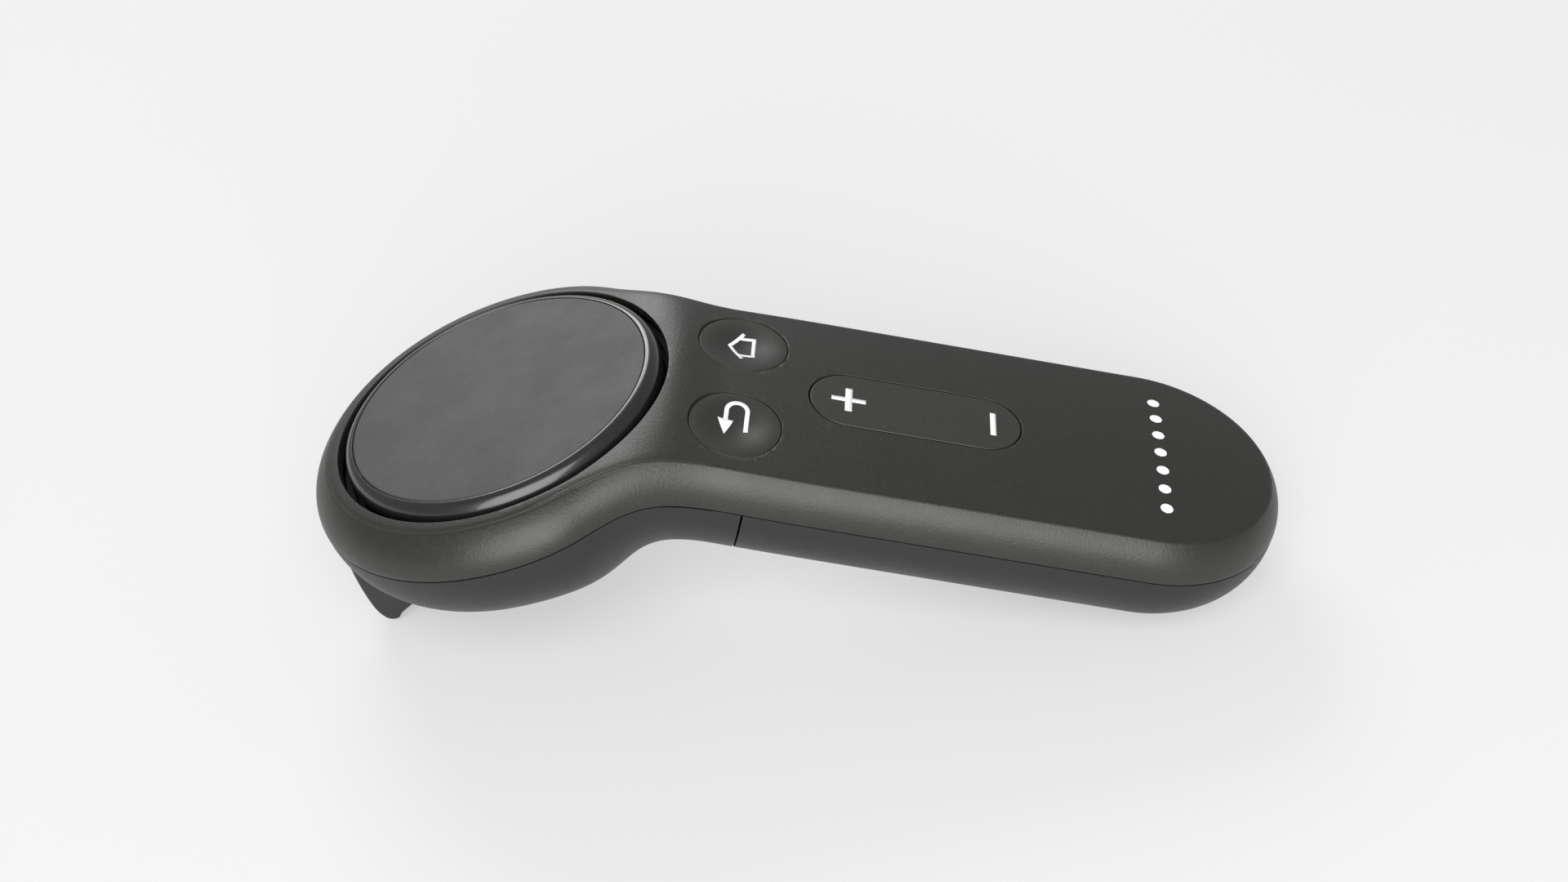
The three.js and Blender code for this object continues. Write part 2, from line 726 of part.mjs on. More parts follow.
// The tray keeps clear of the handle's round end.
function trimmedEnds() {
  const reach = handleHalfWidth + handleFlare - wall - lipThickness - 2 * gap;
  const round = bar(reach, endS, 0, -far, 0, 48);
  return join(block([trayStart - 1, -trayHalfWidth, -far], [endS, trayHalfWidth, 0]), round);
}

function cell(side) {
  const nubStart = batteryLength - batteryNub;
  const radius = batteryRadius;
  const profile = [
    [0, 0], [radius - 0.4, 0], [radius, 0.4], [radius, nubStart - 0.5], [radius - 0.5, nubStart],
    [1.9, nubStart], [1.9, batteryLength], [0, batteryLength],
  ];
  const along = turned(profile, 24);
  const turn = side > 0 ? sideTurn : -sideTurn;
  along.rotateY(turn);
  return along.translate(side > 0 ? batteryStart : cellEnd, side * batteryY, batteryZ);
}

// A flat coil spring that presses on a cell's flat end.
function contactSpring(side) {
  const [low, high] = [trayStart + trayWall + 0.5, batteryStart - 2 * gap];
  const points = [];
  const coils = 2.5;
  const steps = coils * 10;
  for (let i = 0; i <= steps; i++) {
    const t = i / steps;
    const angle = t * coils * Math.PI * 2;
    const radius = THREE.MathUtils.lerp(3.4, 1.8, t);
    const along = THREE.MathUtils.lerp(low, high, t);
    points.push(new THREE.Vector3(along, radius * Math.cos(angle), radius * Math.sin(angle)));
  }
  const wire = tubeAlong(points, springWire, steps);
  const start = side > 0 ? 0 : cellEnd + batteryStart;
  if (side < 0) {
    wire.rotateZ(Math.PI);
  }
  return wire.translate(start, side * batteryY, batteryZ);
}

function tubeAlong(points, radius, steps) {
  const sides = 5;
  const shape = new THREE.Shape();
  for (let i = 0; i < sides; i++) {
    const a = (i / sides) * Math.PI * 2;
    shape[i ? "lineTo" : "moveTo"](radius * Math.cos(a), radius * Math.sin(a));
  }
  const extrudePath = new THREE.CatmullRomCurve3(points);
  return new THREE.ExtrudeGeometry(shape, { steps, extrudePath, bevelEnabled: false });
}

function contactPlate(x, side, halfWidth) {
  return new THREE.BoxGeometry(0.3, 2 * halfWidth, 2 * halfWidth).translate(x, side * batteryY, batteryZ);
}

// --- Trigger ---

// The trigger's side profile: front down to the round tip, then the straight rear edge and the root.
const triggerFront = [[-46.1, -25.2], [-46.2, -27.6], [-45.3, -30.8], [-43.9, -33.9], [-42.3, -36.6]];
const triggerTip = [[-41.3, -37.8], [-40.3, -38.2], [-39.3, -37.8]];
const triggerRear = [[-38.9, -36.8], [-37.3, -34.5], [-35.2, -31.5], [-33.2, -28.6], [-32.8, -27]];
const triggerRoot = [[-33.6, -24.4], [-36, -23.3], [-40, -22.6], [-43.5, -22.9]];
const triggerCore = new THREE.Vector2(-40.5, -28.5);

// One slice of the trigger at a distance y from its middle, drawn in where its edges round off.
function triggerSlice(y) {
  const t = Math.max(0, Math.abs(y) - triggerHalfWidth + triggerEdgeWidth) / triggerEdgeWidth;
  const inset = triggerEdgeRadius * (1 - Math.sqrt(Math.max(0, 1 - t * t)));
  return [...triggerFront, ...triggerTip, ...triggerRear, ...triggerRoot].map(([x, z]) => {
    const point = new THREE.Vector2(x, z);
    const reach = point.distanceTo(triggerCore);
    point.lerpVectors(triggerCore, point, 1 - inset / reach);
    return new THREE.Vector3(point.x, y, point.y);
  });
}

function trigger() {
  const across = triggerHalfWidth;
  const start = across - triggerEdgeWidth;
  const side = [0, 0.45, 0.75, 0.92, 1].map((t) => start + triggerEdgeWidth * t);
  const levels = [...side.map((y) => -y).reverse(), ...side];
  const point = (y) => triggerSlice(0).map(() => new THREE.Vector3(triggerCore.x, y, triggerCore.y));
  const fin = skin([point(-across), ...levels.map(triggerSlice), point(across)]);
  const { x, y: z } = triggerPivot;
  const hub = crossBar(triggerHubRadius, x, z, 2 * (triggerHalfWidth - 0.2));
  const bore = crossBar(triggerPinRadius + runningFit, x, z, far);
  const springSpace = crossBar(springCoilRadius + springWire + 0.9, x, z, 2 * (springHalfWidth + 1));
  const arm = bar(0.9, triggerArmX, triggerArmY, -26, triggerArmTop, 12);
  return cut(join(fin, hub, arm), bore, springSpace);
}

function triggerSlot() {
  const half = triggerHalfWidth + gap;
  return block([triggerSlotStart, -half, -far], [triggerSlotEnd, half, triggerSlotTop]);
}

function triggerLugs() {
  const { x, y: z } = triggerPivot;
  const inside = cut(lowerBlank(), lipRoom());
  const radius = 3;
  const start = triggerHalfWidth + gap;
  return [1, -1].map((side) => {
    const [near, back] = between(side, start, start + lugThickness);
    const plate = block([x - radius, near, z - 8], [x + radius, back, z]);
    const top = crossBar(radius, x, z, lugThickness, (near + back) / 2);
    return join(plate, top).intersect(inside);
  });
}

const triggerPinLength = 2 * (triggerHalfWidth + gap + lugThickness);

function triggerPinHole() {
  return crossBar(triggerPinRadius + runningFit, triggerPivot.x, triggerPivot.y, triggerPinLength + 0.2);
}

function triggerPin() {
  return crossBar(triggerPinRadius, triggerPivot.x, triggerPivot.y, triggerPinLength, 0, 20);
}

// A torsion spring around the pin.
function triggerSpring() {
  const points = [];
  const steps = springTurns * 10;
  for (let i = 0; i <= steps; i++) {
    const t = i / steps;
    const angle = t * springTurns * Math.PI * 2;
    const across = THREE.MathUtils.lerp(-springHalfWidth, springHalfWidth, t);
    const [x, z] = [springCoilRadius * Math.cos(angle), springCoilRadius * Math.sin(angle)];
    points.push(new THREE.Vector3(x, across, z));
  }
  return tubeAlong(points, springWire, steps).translate(triggerPivot.x, 0, triggerPivot.y);
}

// The trigger's switch hangs under the head board, over the trigger's rear arm.
function triggerSwitch() {
  const top = headBoardTop - headBoardThickness - touchGap;
  const foot = top - triggerSwitchBody;
  const [halfLength, halfWidth, plungerHalf] = [3, 2, 0.6];
  const [x, y] = [triggerSwitchX, triggerArmY];
  const base = block([x - halfLength, y - halfWidth, foot], [x + halfLength, y + halfWidth, top]);
  const plungerLow = [x - plungerHalf, y - plungerHalf, foot - triggerSwitchPlunger];
  return join(base, block(plungerLow, [x + plungerHalf, y + plungerHalf, top]));
}

// --- Screws ---

function screw(x, seatZ, length) {
  const headTop = seatZ - gap;
  const headFoot = headTop - screwHeadHeight;
  const head = bar(screwHeadRadius, x, 0, headFoot, headTop);
  const shank = bar(screwShankRadius, x, 0, headTop - 0.2, headTop + length, 16);
  const socket = bar(screwSocketRadius, x, 0, headFoot - 1, headFoot + screwSocketDepth, 6);
  return cut(join(head, shank), socket);
}

// --- Assembly ---

const shellLook = material(colours.shell, 0.55, 0);
const lowerLook = material(colours.lower, 0.6, 0);
const boardLook = material(colours.board, 0.6, 0);
const blackLook = material(colours.black, 0.7, 0);
const metalLook = material(colours.metal, 0.35, 1);
const springLook = material(colours.spring, 0.3, 1);
const brassLook = material(colours.brass, 0.35, 1);

add("upper_shell", upperShell(), shellLook);
add("lower_shell", lowerShell(), lowerLook);
add("battery_cover", batteryCover(), material(colours.lower, 0.62, 0));

add("pad_rim", padRim(), material(colours.gloss, 0.15, 0), head);
add("pad_surface", padSurface(), material(colours.pad, 0.7, 0), head);
add("touch_board", disc(padRadius - 2.3, touchBoardTop, touchBoardThickness), boardLook, head);
add("pad_carrier", padCarrier(), material(colours.black, 0.65, 0), head);
add("pad_frame", padFrame(), blackLook, head);
add("pad_spring", padSpring(), springLook, head);
const headBoard = disc(headBoardRadius, headBoardTop, headBoardThickness);
add("head_board", headBoard, material(colours.board, 0.62, 0), head);
add("pad_switch", padSwitch(), metalLook, head);

const sides = { left: 1, right: -1 };
add("home_button", thumbButton(sides.left), material(colours.shell, 0.4, 0));
add("back_button", thumbButton(sides.right), material(colours.shell, 0.42, 0));
add("volume_rocker", volumeRocker(), material(colours.rocker, 0.5, 0));
const rockerAxle = crossBar(rockerAxleRadius, rockerCentreX, rockerAxleZ, 2 * rockerAxleHalfLength, 0, 16);
add("rocker_axle", rockerAxle, metalLook);

add("main_board", mainBoard(), material(colours.board, 0.58, 0));
add("home_dome", dome(buttonX, buttonY, 2), springLook);
add("back_dome", dome(buttonX, -buttonY, 2), springLook);
add("volume_up_dome", dome(rockerCentreX - rockerSwitchReach, 0, 1.8), springLook);
add("volume_down_dome", dome(rockerCentreX + rockerSwitchReach, 0, 1.8), springLook);
for (const [name, { x, y, length, width, height, roughness }] of Object.entries(chips)) {
  const [low, high] = [boardTop + touchGap, boardTop + height];
  const chip = block([x - length / 2, y - width / 2, low], [x + length / 2, y + width / 2, high]);
  add(name, chip, material(colours.black, roughness, 0));
}

add("battery_tray", batteryTray(), material(colours.black, 0.75, 0));
for (const [name, side] of Object.entries(sides)) {
  add("battery_" + name, cell(side), material(colours.cell, 0.35, 0.2));
  add("battery_spring_" + name, contactSpring(side), springLook);
  const plateX = side > 0 ? cellEnd + 0.3 : batteryStart - 0.3;
  add("battery_contact_" + name, contactPlate(plateX, side, 2.5), brassLook);
}
add("neck_screw", screw(neckScrewX, neckScrewSeatZ, neckScrewLength), metalLook);
add("tray_screw_front", screw(trayScrewFrontX, trayBottom, 2.2), metalLook);
add("tray_screw_rear", screw(trayScrewRearX, earBottom, 2.6), metalLook);

add("trigger", trigger(), material(colours.gloss, 0.2, 0));
add("trigger_pin", triggerPin(), metalLook);
add("trigger_spring", triggerSpring(), springLook);
add("trigger_switch", triggerSwitch(), material(colours.black, 0.5, 0), head);

// Lay the body down: turn it until the trigger's tip and the underside at the handle's end are level,
// then lift it onto z = 0 and centre it.
function layDown() {
  const angle = lieAngle();
  body.rotation.y = angle;
  controller.updateMatrixWorld(true);
  const box = new THREE.Box3().setFromObject(body, true);
  const middle = box.getCenter(new THREE.Vector3());
  body.position.set(-middle.x, -middle.y, -box.min.z);
}

// The slope of the lowest line that touches both the trigger and the handle, found by closing in on it.
function lieAngle() {
  let [low, high] = [0, THREE.MathUtils.degToRad(30)];
  for (let i = 0; i < 30; i++) {
    const angle = (low + high) / 2;
    if (lowest("trigger", angle) < lowest("battery_cover", angle)) {
      low = angle;
    } else {
      high = angle;
    }
  }
  return (low + high) / 2;
}

function lowest(name, angle) {
  const turned = body.getObjectByName(name).geometry.clone().rotateY(angle);
  turned.computeBoundingBox();
  return turned.boundingBox.min.z;
}

layDown();

export default controller;
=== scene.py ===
import json
import math

import bmesh
import bpy
from mathutils import Matrix, Vector


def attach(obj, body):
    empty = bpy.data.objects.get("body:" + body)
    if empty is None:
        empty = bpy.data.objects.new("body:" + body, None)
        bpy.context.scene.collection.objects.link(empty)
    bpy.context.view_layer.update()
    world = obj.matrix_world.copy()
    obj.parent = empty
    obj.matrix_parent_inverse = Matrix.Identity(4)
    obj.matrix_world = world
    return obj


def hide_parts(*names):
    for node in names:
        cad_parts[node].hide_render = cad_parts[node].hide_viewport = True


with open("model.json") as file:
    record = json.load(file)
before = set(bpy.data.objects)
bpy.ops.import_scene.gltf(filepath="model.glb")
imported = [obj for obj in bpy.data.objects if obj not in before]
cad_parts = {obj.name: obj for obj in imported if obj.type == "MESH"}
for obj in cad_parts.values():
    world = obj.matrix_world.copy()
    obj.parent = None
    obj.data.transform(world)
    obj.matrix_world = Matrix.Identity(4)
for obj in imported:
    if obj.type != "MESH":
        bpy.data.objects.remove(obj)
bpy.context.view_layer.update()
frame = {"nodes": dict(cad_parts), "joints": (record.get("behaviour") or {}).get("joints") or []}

# Everything below is drawn in millimetres in the handle's own frame: +X along the handle to its round end,
# +Z out of its top face, zero on the middle of that face. handleToRow then lays it down in metres.
body = {
    "handleHalfWidth": 14.5,
    "handleLength": 56.3,
    "handleCrown": 0.0072,
    "handleFlare": 1.85,
    "handleSideDepth": 5.2,
    "handleDepth": 16.8,
    "headRadius": 21.2,
    "headTilt": math.radians(27.5),
    "headReach": 18.2,
    "foldX": -14.9,
    "foldRadius": 14,
    "foldReach": 5.4,
    "headFlare": 2.95,
    "headSideDepth": 4.7,
    "headDepth": 18.8,
    "headEdgeDrop": 0.28,
    "neckRadius": 37,
    "waistDepth": 0.2,
    "waistS": -9,
    "waistReach": 8,
    "neckStart": -5,
    "neckLength": 23,
    "browHeight": 0.45,
    "browLength": 7,
    "wall": 1.2,
    "edgeSlope": math.radians(40),
    "squareness": 2.2,
    "padHole": 19.8,
    "partingGap": 0.15,
    "partingTop": 0.08,
    "seamX": -3,
    "pointSpacing": 0.62,
}

axleInHandle = Vector((15, 0, -1.75))


def jointNamed(name):
    return next(joint for joint in frame["joints"] if joint["name"] == name)


def handlePlacement():
    along = Vector(jointNamed("cover_slide")["axis"])
    turn = Matrix.Rotation(math.atan2(-along.z, along.x), 4, "Y")
    shift = Vector(jointNamed("volume_rock")["pos_m"]) - turn @ (axleInHandle * 0.001)
    return Matrix.Translation(shift) @ turn @ Matrix.Scale(0.001, 4)


def headPlacement():
    tilt = body["headTilt"]
    reach = body["headReach"]
    centre = Vector((body["foldX"] - reach * math.cos(tilt), 0, -reach * math.sin(tilt)))
    return Matrix.Translation(centre) @ Matrix.Rotation(-tilt, 4, "Y")


handleToRow = handlePlacement()
headToHandle = headPlacement()


# shader wires


class Wire:
    # an output socket; arithmetic on it adds Math nodes to its material
    def __init__(self, paint, socket):
        self.paint = paint
        self.socket = socket

    def math(self, operation, *values, clamp=False):
        inputs = dict(enumerate(values))
        return self.paint.add("ShaderNodeMath", {"operation": operation, "use_clamp": clamp}, inputs)

    def __add__(self, other):
        return self.math("ADD", self, other)

    def __radd__(self, other):
        return self.math("ADD", other, self)

    def __sub__(self, other):
        return self.math("SUBTRACT", self, other)

    def __rsub__(self, other):
        return self.math("SUBTRACT", other, self)

    def __mul__(self, other):
        return self.math("MULTIPLY", self, other)

    def __rmul__(self, other):
        return self.math("MULTIPLY", other, self)

    def clamped(self):
        return self.math("ADD", self, 0.0, clamp=True)

    def over(self, limit):
        return self.math("GREATER_THAN", self, limit)


class Paint:
    # a material with a Principled shader, built node by node
    def __init__(self, name):
        self.material = bpy.data.materials.new(name)
        self.material.use_nodes = True
        self.tree = self.material.node_tree
        self.shader = self.tree.nodes["Principled BSDF"]

    def add(self, kind, settings, inputs, output=0):
        node = self.tree.nodes.new(kind)
        for key, value in settings.items():
            if key == "stops":
                self.setStops(node, value)
            else:
                setattr(node, key, value)
        for key, value in inputs.items():
            self.feed(node.inputs[key], value)
        return Wire(self, node.outputs[output])

    def setStops(self, node, stops):
        ramp = node.color_ramp
        while len(ramp.elements) < len(stops):
            ramp.elements.new(0.5)
        for element, (place, value) in zip(ramp.elements, stops):
            element.position = place
            element.color = (value, value, value, 1)

    def feed(self, socket, value):
        if isinstance(value, Wire):
            self.tree.links.new(value.socket, socket)
        else:
            socket.default_value = value

    def set(self, **values):
        for key, value in values.items():
            self.feed(self.shader.inputs[key.replace("_", " ")], value)
        return self.material

    def here(self):
        return self.add("ShaderNodeTexCoord", {}, {}, "Object")

    def axis(self, place, index):
        return self.add("ShaderNodeSeparateXYZ", {}, {0: place}, index)

    def noise(self, scale, detail=2, roughness=0.5, place=None):
        inputs = {"Vector": place or self.here(), "Scale": scale, "Detail": detail, "Roughness": roughness}
        return self.add("ShaderNodeTexNoise", {}, inputs, 0)

    def ramp(self, value, stops):
        return self.add("ShaderNodeValToRGB", {"stops": stops}, {"Fac": value}, 0)

    def mix(self, factor, first, second):
        inputs = {0: factor, 6: first, 7: second}
        return self.add("ShaderNodeMix", {"data_type": "RGBA"}, inputs, 2)

    def bump(self, height, strength, distance):
        inputs = {"Height": height, "Strength": strength, "Distance": distance}
        return self.add("ShaderNodeBump", {}, inputs, 0)

    def edges(self, low, high):
        pointed = self.add("ShaderNodeNewGeometry", {}, {}, "Pointiness")
        return self.ramp(pointed, [(low, 0), (high, 1)])


def colour(value, shift=(1, 1, 1)):
    # a grey by its screen value of 0 to 255, with a slight tint
    level = value / 255
    linear = level / 12.92 if level <= 0.04045 else ((level + 0.055) / 1.055) ** 2.4
    return (linear * shift[0], linear * shift[1], linear * shift[2], 1)


def mouldedPlastic(name, tone, tint, roughness, grain, wear=0.5):
    # moulded plastic: fine spark-eroded grain, slow colour drift, handling marks and lighter worn edges
    paint = Paint(name)
    drift = paint.noise(55, 3)
    speckle = paint.noise(2000, 2, 0.6)
    smudge = paint.noise(160, 4, 0.62)
    base = paint.mix(drift, colour(tone * 0.97, tint), colour(tone * 1.03, tint))
    flecks = paint.ramp(speckle, [(0.56, 0), (0.74, 1)])
    base = paint.mix(flecks * 0.35, base, colour(tone * 1.45, tint))
    edge = paint.edges(0.53, 0.62) * paint.ramp(smudge, [(0.38, 0.2), (0.6, 1)])
    base = paint.mix((edge * wear).clamped(), base, colour(tone * 1.5, tint))
    rough = roughness + (smudge - 0.5) * 0.16 + (speckle - 0.5) * 0.08
    fine = paint.noise(4200, 1, 0.4)
    normal = paint.bump(fine * 0.6 + speckle * 0.4, grain, 0.00006)
    return paint.set(Base_Color=base, Roughness=rough.clamped(), Normal=normal)


def glossPlastic(name, tone, tint, roughness):
    # polished plastic with hairline marks and a faint orange peel
    paint = Paint(name)
    along = {"Vector": paint.here(), "Scale": (1, 6, 1), "Rotation": (0, 0, 0.5)}
    stretched = paint.add("ShaderNodeMapping", {}, along)
    hairs = paint.noise(900, 3, 0.7, stretched)
    cloud = paint.noise(120, 3)
    rough = roughness + paint.ramp(hairs, [(0.58, 0), (0.7, 1)]) * 0.1 + (cloud - 0.5) * 0.07
    base = paint.mix(cloud, colour(tone * 0.9, tint), colour(tone * 1.1, tint))
    normal = paint.bump(paint.noise(420, 2), 0.25, 0.00002)
    return paint.set(Base_Color=base, Roughness=rough.clamped(), Normal=normal, Coat_Weight=0.35)


def printedWhite():
    paint = Paint("printed white ink")
    speck = paint.noise(3000, 2)
    base = paint.mix(speck, colour(226), colour(243))
    rough = 0.42 + (paint.noise(500) - 0.5) * 0.2
    normal = paint.bump(speck, 0.3, 0.00002)
    return paint.set(Base_Color=base, Roughness=rough, Normal=normal)


def bareMetal(name, tone, tint, roughness):
    paint = Paint(name)
    stretched = paint.add("ShaderNodeMapping", {}, {"Vector": paint.here(), "Scale": (1, 9, 1)})
    brushed = paint.noise(1500, 3, 0.6, stretched)
    stain = paint.noise(300, 3)
    base = paint.mix(stain, colour(tone * 0.86, tint), colour(tone, tint))
    rough = roughness + (brushed - 0.5) * 0.22
    normal = paint.bump(brushed, 0.25, 0.00002)
    return paint.set(Base_Color=base, Roughness=rough.clamped(), Normal=normal, Metallic=1.0)


def solderMask():
    # green board: darker copper tracks under the mask, and small tinned pads
    paint = Paint("green solder mask")
    place = paint.here()
    courses = {"Vector": place, "Scale": 520, "Mortar Size": 0.06}
    cells = paint.add("ShaderNodeTexBrick", {"offset": 0.5}, courses, 1)
    pads = paint.add("ShaderNodeTexVoronoi", {}, {"Vector": place, "Scale": 620}, 0)
    pad = paint.ramp(pads, [(0.16, 1), (0.22, 0)])
    mask = paint.mix(cells, (0.012, 0.075, 0.035, 1), (0.02, 0.12, 0.055, 1))
    base = paint.mix(pad, mask, (0.55, 0.52, 0.42, 1))
    rough = 0.34 + (paint.noise(700) - 0.5) * 0.2
    normal = paint.bump(pads, 0.3, 0.00005)
    return paint.set(Base_Color=base, Roughness=rough, Normal=normal, Metallic=pad * 0.8)


def cellSleeve():
    # printed cell wrap: a red band, a dark band and a thin pale ring, along the handle's axis
    paint = Paint("printed cell sleeve")
    along = paint.axis(paint.here(), "X")
    dark = along.over(0.012)
    ring = paint.ramp(along.math("ABSOLUTE", along - 0.011), [(0.0006, 1), (0.0009, 0)])
    wear = paint.ramp(paint.noise(900, 4), [(0.6, 0), (0.75, 1)])
    base = paint.mix(dark, (0.33, 0.035, 0.03, 1), (0.03, 0.032, 0.036, 1))
    base = paint.mix(ring, base, (0.6, 0.58, 0.5, 1))
    base = paint.mix(wear * 0.3, base, (0.5, 0.48, 0.45, 1))
    rough = 0.3 + (paint.noise(260, 3) - 0.5) * 0.2
    normal = paint.bump(paint.noise(1200), 0.2, 0.00003)
    return paint.set(Base_Color=base, Roughness=rough, Normal=normal)


coolGrey = (0.97, 1.0, 1.06)
oliveGrey = (1.07, 1.07, 0.83)
warmGrey = (1.04, 1.03, 0.93)
plain = (1, 1, 1)

finishes = {
    "shell": mouldedPlastic("graphite shell plastic", 32, oliveGrey, 0.42, 0.6),
    "lower": mouldedPlastic("slate lower plastic", 24, coolGrey, 0.47, 0.55),
    "touch": mouldedPlastic("matt touch surface", 46, warmGrey, 0.56, 0.35, 0.2),
    "rim": glossPlastic("polished black rim", 24, plain, 0.28),
    "trigger": glossPlastic("polished trigger", 20, coolGrey, 0.2),
    "button": mouldedPlastic("satin button plastic", 32, oliveGrey, 0.48, 0.25),
    "rocker": mouldedPlastic("satin rocker plastic", 40, oliveGrey, 0.4, 0.35),
    "ink": printedWhite(),
    "black": mouldedPlastic("black inner plastic", 16, plain, 0.55, 0.5),
    # painted shade: the pad frame is black plastic, made darker still and left without worn edges so the gap
    # around the pad reads as deep shadow
    "shadow": mouldedPlastic("pad frame plastic darkened as painted shade", 7, plain, 0.85, 0.2, 0.0),
    "board": solderMask(),
    "chip": mouldedPlastic("chip resin", 30, plain, 0.45, 0.3),
    "steel": bareMetal("spring steel", 190, plain, 0.3),
    "brass": bareMetal("contact brass", 200, (1.0, 0.82, 0.45), 0.28),
    "sleeve": cellSleeve(),
}
print("finishes made:", len(finishes))


# mesh helpers


def meshOf(name, points, faces):
    mesh = bpy.data.meshes.new(name)
    mesh.from_pydata([tuple(point) for point in points], [], faces)
    form = bmesh.new()
    form.from_mesh(mesh)
    bmesh.ops.remove_doubles(form, verts=form.verts, dist=1e-4)
    bmesh.ops.dissolve_degenerate(form, edges=form.edges, dist=1e-5)
    bmesh.ops.recalc_face_normals(form, faces=form.faces)
    form.to_mesh(mesh)
    form.free()
    return mesh


def loft(name, rings, hoop=False):
    # quads between neighbouring rings of equal count, and from the last to the first for a hoop
    count = len(rings[0])
    points = [point for ring in rings for point in ring]
    faces = []
    last = len(rings) if hoop else len(rings) - 1
    for r in range(last):
        following = (r + 1) % len(rings)
        for i in range(count):
            j = (i + 1) % count
            faces.append((r * count + i, r * count + j, following * count + j, following * count + i))
    return meshOf(name, points, faces)


def circle(radius, height, sides):
    return [Vector((radius * math.cos(a), radius * math.sin(a), height)) for a in anglesRound(sides)]


def turned(name, profile, sides=96):
    # a profile of (radius, height) turned about Z
    rings = []
    for radius, height in profile:
        rings.append(circle(radius, height, sides))
    return loft(name, rings)


def rod(name, radius, foot, top, sides):
    return turned(name, [(0, foot), (radius, foot), (radius, top), (0, top)], sides)


def anglesRound(sides):
    return [2 * math.pi * i / sides for i in range(sides)]


def between(low, high, steps):
    return [low + (high - low) * i / steps for i in range(steps + 1)]


def smooth(t):
    held = min(max(t, 0), 1)
    return held * held * (3 - 2 * held)


def mixed(a, b, t):
    return a + (b - a) * t


def blockMesh(low, high):
    form = bmesh.new()
    bmesh.ops.create_cube(form, size=1)
    for vert in form.verts:
        vert.co = Vector([mixed(low[i], high[i], vert.co[i] + 0.5) for i in range(3)])
    mesh = bpy.data.meshes.new("block")
    form.to_mesh(mesh)
    form.free()
    return mesh


def carved(mesh, tools, operation="DIFFERENCE"):
    # the mesh with every tool cut away from it, or joined to it
    base = bpy.data.objects.new("carving", mesh)
    bpy.context.collection.objects.link(base)
    helpers = []
    for tool in tools:
        helper = bpy.data.objects.new("tool", tool)
        bpy.context.collection.objects.link(helper)
        helpers.append(helper)
        modifier = base.modifiers.new("cut", "BOOLEAN")
        modifier.operation = operation
        modifier.solver = "MANIFOLD"
        modifier.object = helper
    evaluated = base.evaluated_get(bpy.context.evaluated_depsgraph_get())
    result = bpy.data.meshes.new_from_object(evaluated)
    for helper in [base, *helpers]:
        bpy.data.objects.remove(helper)
    return result


def piece(name, mesh, finish, on, replaces=(), placement=None, sharp=32):
    # a finished piece: placed in the row's frame, smoothed, painted, and riding on its body
    mesh = mesh.copy()
    mesh.transform(handleToRow @ placement if placement else handleToRow)
    mesh.polygons.foreach_set("use_smooth", [True] * len(mesh.polygons))
    mesh.set_sharp_from_angle(angle=math.radians(sharp))
    mesh.materials.clear()
    mesh.materials.append(finishes[finish])
    made = bpy.data.objects.new(name, mesh)
    bpy.context.collection.objects.link(made)
    weighted = made.modifiers.new("weighted normals", "WEIGHTED_NORMAL")
    weighted.keep_sharp = True
    weighted.mode = "FACE_AREA"
    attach(made, on)
    if replaces:
        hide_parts(*replaces)
    return made


# the body's outline and skins


def foldPlaces():
    tangent = body["foldRadius"] * math.tan(body["headTilt"] / 2)
    start = body["foldX"] + tangent
    end = start - body["foldRadius"] * body["headTilt"]
    return start, end, end - (body["headReach"] - tangent)


foldStart, foldEnd, headS = foldPlaces()
endS = body["handleLength"] - body["handleHalfWidth"]


def headShare(s):
    return smooth((body["neckStart"] - s) / body["neckLength"])


def shared(onHandle, onHead, s):
    return mixed(onHandle, onHead, headShare(s))


def crownDrop(y):
    return body["handleCrown"] * y * y / 2


def foldLine():
    # points through the fold, whose turn starts and ends gently, then its end moved onto the head's plane
    middle = (foldStart + foldEnd) / 2
    reach = body["foldReach"]
    steps = 120
    x, z = middle + reach, 0
    points = [(x, z)]
    for i in range(steps):
        turn = body["headTilt"] * smooth((i + 0.5) / steps)
        x -= 2 * reach / steps * math.cos(turn)
        z -= 2 * reach / steps * math.sin(turn)
        points.append((x, z))
    past = reach - (foldStart - foldEnd) / 2
    endX = foldStart - body["foldRadius"] * math.sin(body["headTilt"]) - past * math.cos(body["headTilt"])
    endZ = -body["foldRadius"] * (1 - math.cos(body["headTilt"])) - past * math.sin(body["headTilt"])
    shift = (endX - x, endZ - z)
    return [(px + shift[0] * i / steps, pz + shift[1] * i / steps) for i, (px, pz) in enumerate(points)]


foldPoints = foldLine()


def spine(s):
    # the middle line of the top face: straight along the handle, folded at the neck, straight up the head
    tilt = body["headTilt"]
    along = (foldStart + foldEnd) / 2 + body["foldReach"] - s
    if along <= 0:
        return s, 0
    steps = len(foldPoints) - 1
    step = along / (2 * body["foldReach"]) * steps
    if step >= steps:
        past = along - 2 * body["foldReach"]
        x, z = foldPoints[-1]
        return x - past * math.cos(tilt), z - past * math.sin(tilt)
    i = int(step)
    a, b = foldPoints[i], foldPoints[i + 1]
    return mixed(a[0], b[0], step - i), mixed(a[1], b[1], step - i)


def place(s, y, depth):
    x, z = spine(s)
    lean = body["headTilt"] * headShare(s)
    return Vector((x + depth * math.sin(lean), y, z - depth * math.cos(lean)))


def waist(s):
    # the neck is drawn in a little more than its arcs alone would make it
    return body["waistDepth"] * math.exp(-((s - body["waistS"]) / body["waistReach"]) ** 2)


def edgePoint(s, y, radius, angle, outward):
    c = math.cos(angle)
    d = math.sin(angle)
    return s + radius * c, y + radius * d, outward * c, outward * d


